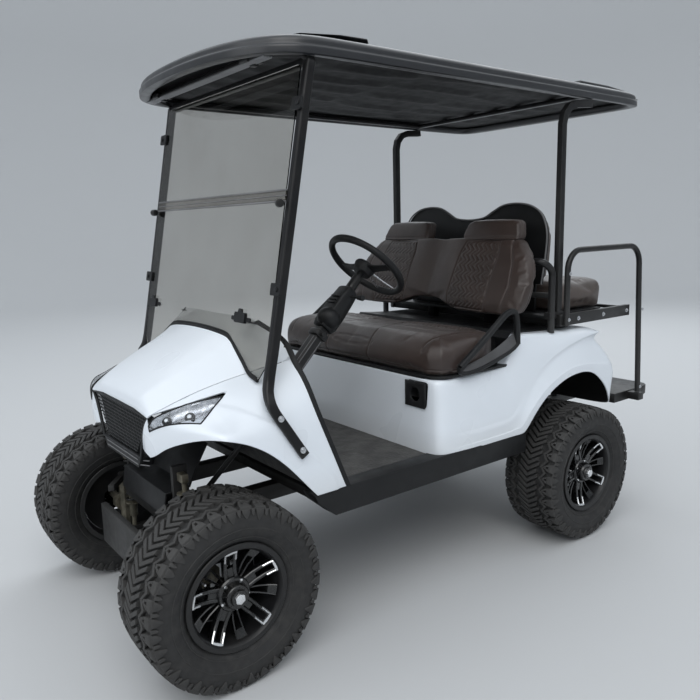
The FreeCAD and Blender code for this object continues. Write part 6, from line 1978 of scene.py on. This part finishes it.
def make_stage():
    floor_mesh = bpy.data.meshes.new("ground")
    bm = bmesh.new()
    # a flat floor that curves up into a pale wall all round
    bend = [math.pi / 40 * k for k in range(21)]
    wall = [Vector((FLOOR_REACH + WALL_BEND * math.sin(a), 0, WALL_BEND * (1 - math.cos(a)))) for a in bend]
    for reach in [Vector((0, 0, 0)), Vector((5, 0, 0))] + wall + [Vector((FLOOR_REACH + WALL_BEND, 0,
                                                                          WALL_TOP))]:
        bm.verts.new(reach)
    bm.verts.ensure_lookup_table()
    for one, two in zip(bm.verts[:], bm.verts[1:]):
        bm.edges.new((one, two))
    bmesh.ops.spin(bm, geom=bm.verts[:] + bm.edges[:], cent=(0, 0, 0), axis=(0, 0, 1), angle=2 * math.pi,
                   steps=96, use_merge=True)
    bmesh.ops.remove_doubles(bm, verts=bm.verts[:], dist=0.001)
    outwards(bm)
    for face in bm.faces:
        face.smooth = True
    bm.to_mesh(floor_mesh)
    bm.free()
    ground = bpy.data.objects.new("ground", floor_mesh)
    bpy.context.scene.collection.objects.link(ground)
    f = Finish("pale_ground")
    f.set(Base_Color=(0.55, 0.56, 0.57, 1), Roughness=0.9, Specular_IOR_Level=0.1)
    floor_mesh.materials.append(f.material)
    world = bpy.data.worlds.new("sky")
    bpy.context.scene.world = world
    world.use_nodes = True
    tree = world.node_tree
    tree.nodes.clear()
    out = tree.nodes.new("ShaderNodeOutputWorld")
    sky = tree.nodes.new("ShaderNodeBackground")
    sky.inputs["Color"].default_value = (0.90, 0.95, 1.0, 1)
    sky.inputs["Strength"].default_value = 1.05
    tree.links.new(sky.outputs[0], out.inputs[0])
    for name, at, power, size, tint in (("cloud_glow", (3.5, 5.0, 6.5), 230, 6.0, (1, 0.99, 0.97)),
                                        ("far_glow", (-5, -3, 5.5), 150, 7.0, (0.93, 0.97, 1)),
                                        ("front_glow", (6.5, 0.5, 3.5), 80, 5.0, (0.97, 0.99, 1))):
        lamp = bpy.data.lights.new(name, "AREA")
        lamp.energy = power
        lamp.size = size
        lamp.color = tint
        made = bpy.data.objects.new(name, lamp)
        bpy.context.scene.collection.objects.link(made)
        made.location = at
        made.rotation_euler = (Vector((0, 0, 0.8)) - Vector(at)).to_track_quat("-Z", "Y").to_euler()
    azimuth, elevation, roll = CAMERA_TURN
    look = Vector((math.cos(elevation) * math.cos(azimuth), math.cos(elevation) * math.sin(azimuth),
                   math.sin(elevation)))
    right = look.cross(Vector((0, 0, 1))).normalized()
    up = right.cross(look)
    c, s = math.cos(roll), math.sin(roll)
    right, up = right * c + up * s, up * c - right * s
    camera = bpy.data.cameras.new("photo_view")
    camera.lens = CAMERA_LENS
    camera.sensor_width = 36
    camera.shift_x, camera.shift_y = CAMERA_SHIFT
    holder = bpy.data.objects.new("photo_view", camera)
    bpy.context.scene.collection.objects.link(holder)
    turn = Matrix((right, up, -look)).transposed().to_4x4()
    holder.matrix_world = Matrix.Translation(CAMERA_AT) @ turn
    bpy.context.scene.camera = holder
    bpy.context.scene.view_settings.view_transform = "Standard"


# Operators, one for each group of pieces, and the panel that lists them

class StepOperator:
    """What the operators share: the steps of each run in turn, and a failure stops it."""
    bl_options = {"REGISTER", "UNDO"}
    steps = ()

    @classmethod
    def poll(cls, context):
        return context.mode == "OBJECT"

    def execute(self, context):
        for step in self.steps:
            step()
        return {"FINISHED"}


class CART_OT_nose(StepOperator, bpy.types.Operator):
    """Hood, front fenders and headlamps"""
    bl_idname = "cart.nose"
    bl_label = "Nose"
    steps = (make_nose,)


class CART_OT_grille(StepOperator, bpy.types.Operator):
    """Honeycomb grille, its back and its rim"""
    bl_idname = "cart.grille"
    bl_label = "Grille"
    steps = (make_grille,)


class CART_OT_rear_body(StepOperator, bpy.types.Operator):
    """Painted rear body"""
    bl_idname = "cart.rear_body"
    bl_label = "Rear body"
    steps = (make_rear_body,)


class CART_OT_wheels(StepOperator, bpy.types.Operator):
    """Four tyres with their tread and four rims"""
    bl_idname = "cart.wheels"
    bl_label = "Wheels"
    steps = (make_wheels,)


class CART_OT_front_seat(StepOperator, bpy.types.Operator):
    """Quilted back, headrests and cushion"""
    bl_idname = "cart.front_seat"
    bl_label = "Front seat"
    steps = (make_front_back, make_front_cushion)


class CART_OT_rear_seat(StepOperator, bpy.types.Operator):
    """Rear pad, cushion and moulded shell"""
    bl_idname = "cart.rear_seat"
    bl_label = "Rear seat"
    steps = (make_rear_pads, make_rear_shell)


class CART_OT_seat_hardware(StepOperator, bpy.types.Operator):
    """Tubes, rails, bolts and hip loops"""
    bl_idname = "cart.seat_hardware"
    bl_label = "Seat hardware"
    steps = (make_seat_hardware, make_hips)


class CART_OT_glass(StepOperator, bpy.types.Operator):
    """Panes, fold strip, trim, clips and latches"""
    bl_idname = "cart.glass"
    bl_label = "Windshield"
    steps = (make_glass,)


class CART_OT_roof(StepOperator, bpy.types.Operator):
    """Pillars, struts and roof"""
    bl_idname = "cart.roof"
    bl_label = "Roof"
    steps = (make_pillars, make_roof)


class CART_OT_steering(StepOperator, bpy.types.Operator):
    """Steering wheel, column and stalk"""
    bl_idname = "cart.steering"
    bl_label = "Steering"
    steps = (make_steering,)


class CART_OT_chassis(StepOperator, bpy.types.Operator):
    """Springs, frame, axles, floor and trim"""
    bl_idname = "cart.chassis"
    bl_label = "Chassis"
    steps = (make_springs, make_rest)


class CART_OT_stage(StepOperator, bpy.types.Operator):
    """Ground, light and camera"""
    bl_idname = "cart.stage"
    bl_label = "Stage"
    steps = (make_stage,)


OPERATORS = (CART_OT_nose, CART_OT_grille, CART_OT_rear_body, CART_OT_wheels, CART_OT_front_seat,
             CART_OT_rear_seat,
             CART_OT_seat_hardware, CART_OT_glass, CART_OT_roof, CART_OT_steering, CART_OT_chassis,
             CART_OT_stage)


class CART_PT_panel(bpy.types.Panel):
    bl_label = "Golf cart"
    bl_space_type = "VIEW_3D"
    bl_region_type = "UI"
    bl_category = "Cart"

    def draw(self, context):
        column = self.layout.column()
        for group in (context.scene.cart_colours, context.scene.cart_sizes):
            for key in group.bl_rna.properties.keys():
                if key not in ("rna_type", "name"):
                    column.prop(group, key)
        for made in OPERATORS:
            column.operator(made.bl_idname)


CLASSES = (CartColours, CartSizes, *OPERATORS, CART_PT_panel)


def register():
    for made in CLASSES:
        bpy.utils.register_class(made)
    bpy.types.Scene.cart_colours = PointerProperty(type=CartColours)
    bpy.types.Scene.cart_sizes = PointerProperty(type=CartSizes)


def unregister():
    del bpy.types.Scene.cart_sizes
    del bpy.types.Scene.cart_colours
    for made in reversed(CLASSES):
        bpy.utils.unregister_class(made)


def main():
    register()
    for made in OPERATORS:
        group, name = made.bl_idname.split(".")
        getattr(getattr(bpy.ops, group), name)()


if __name__ == "__main__":
    main()
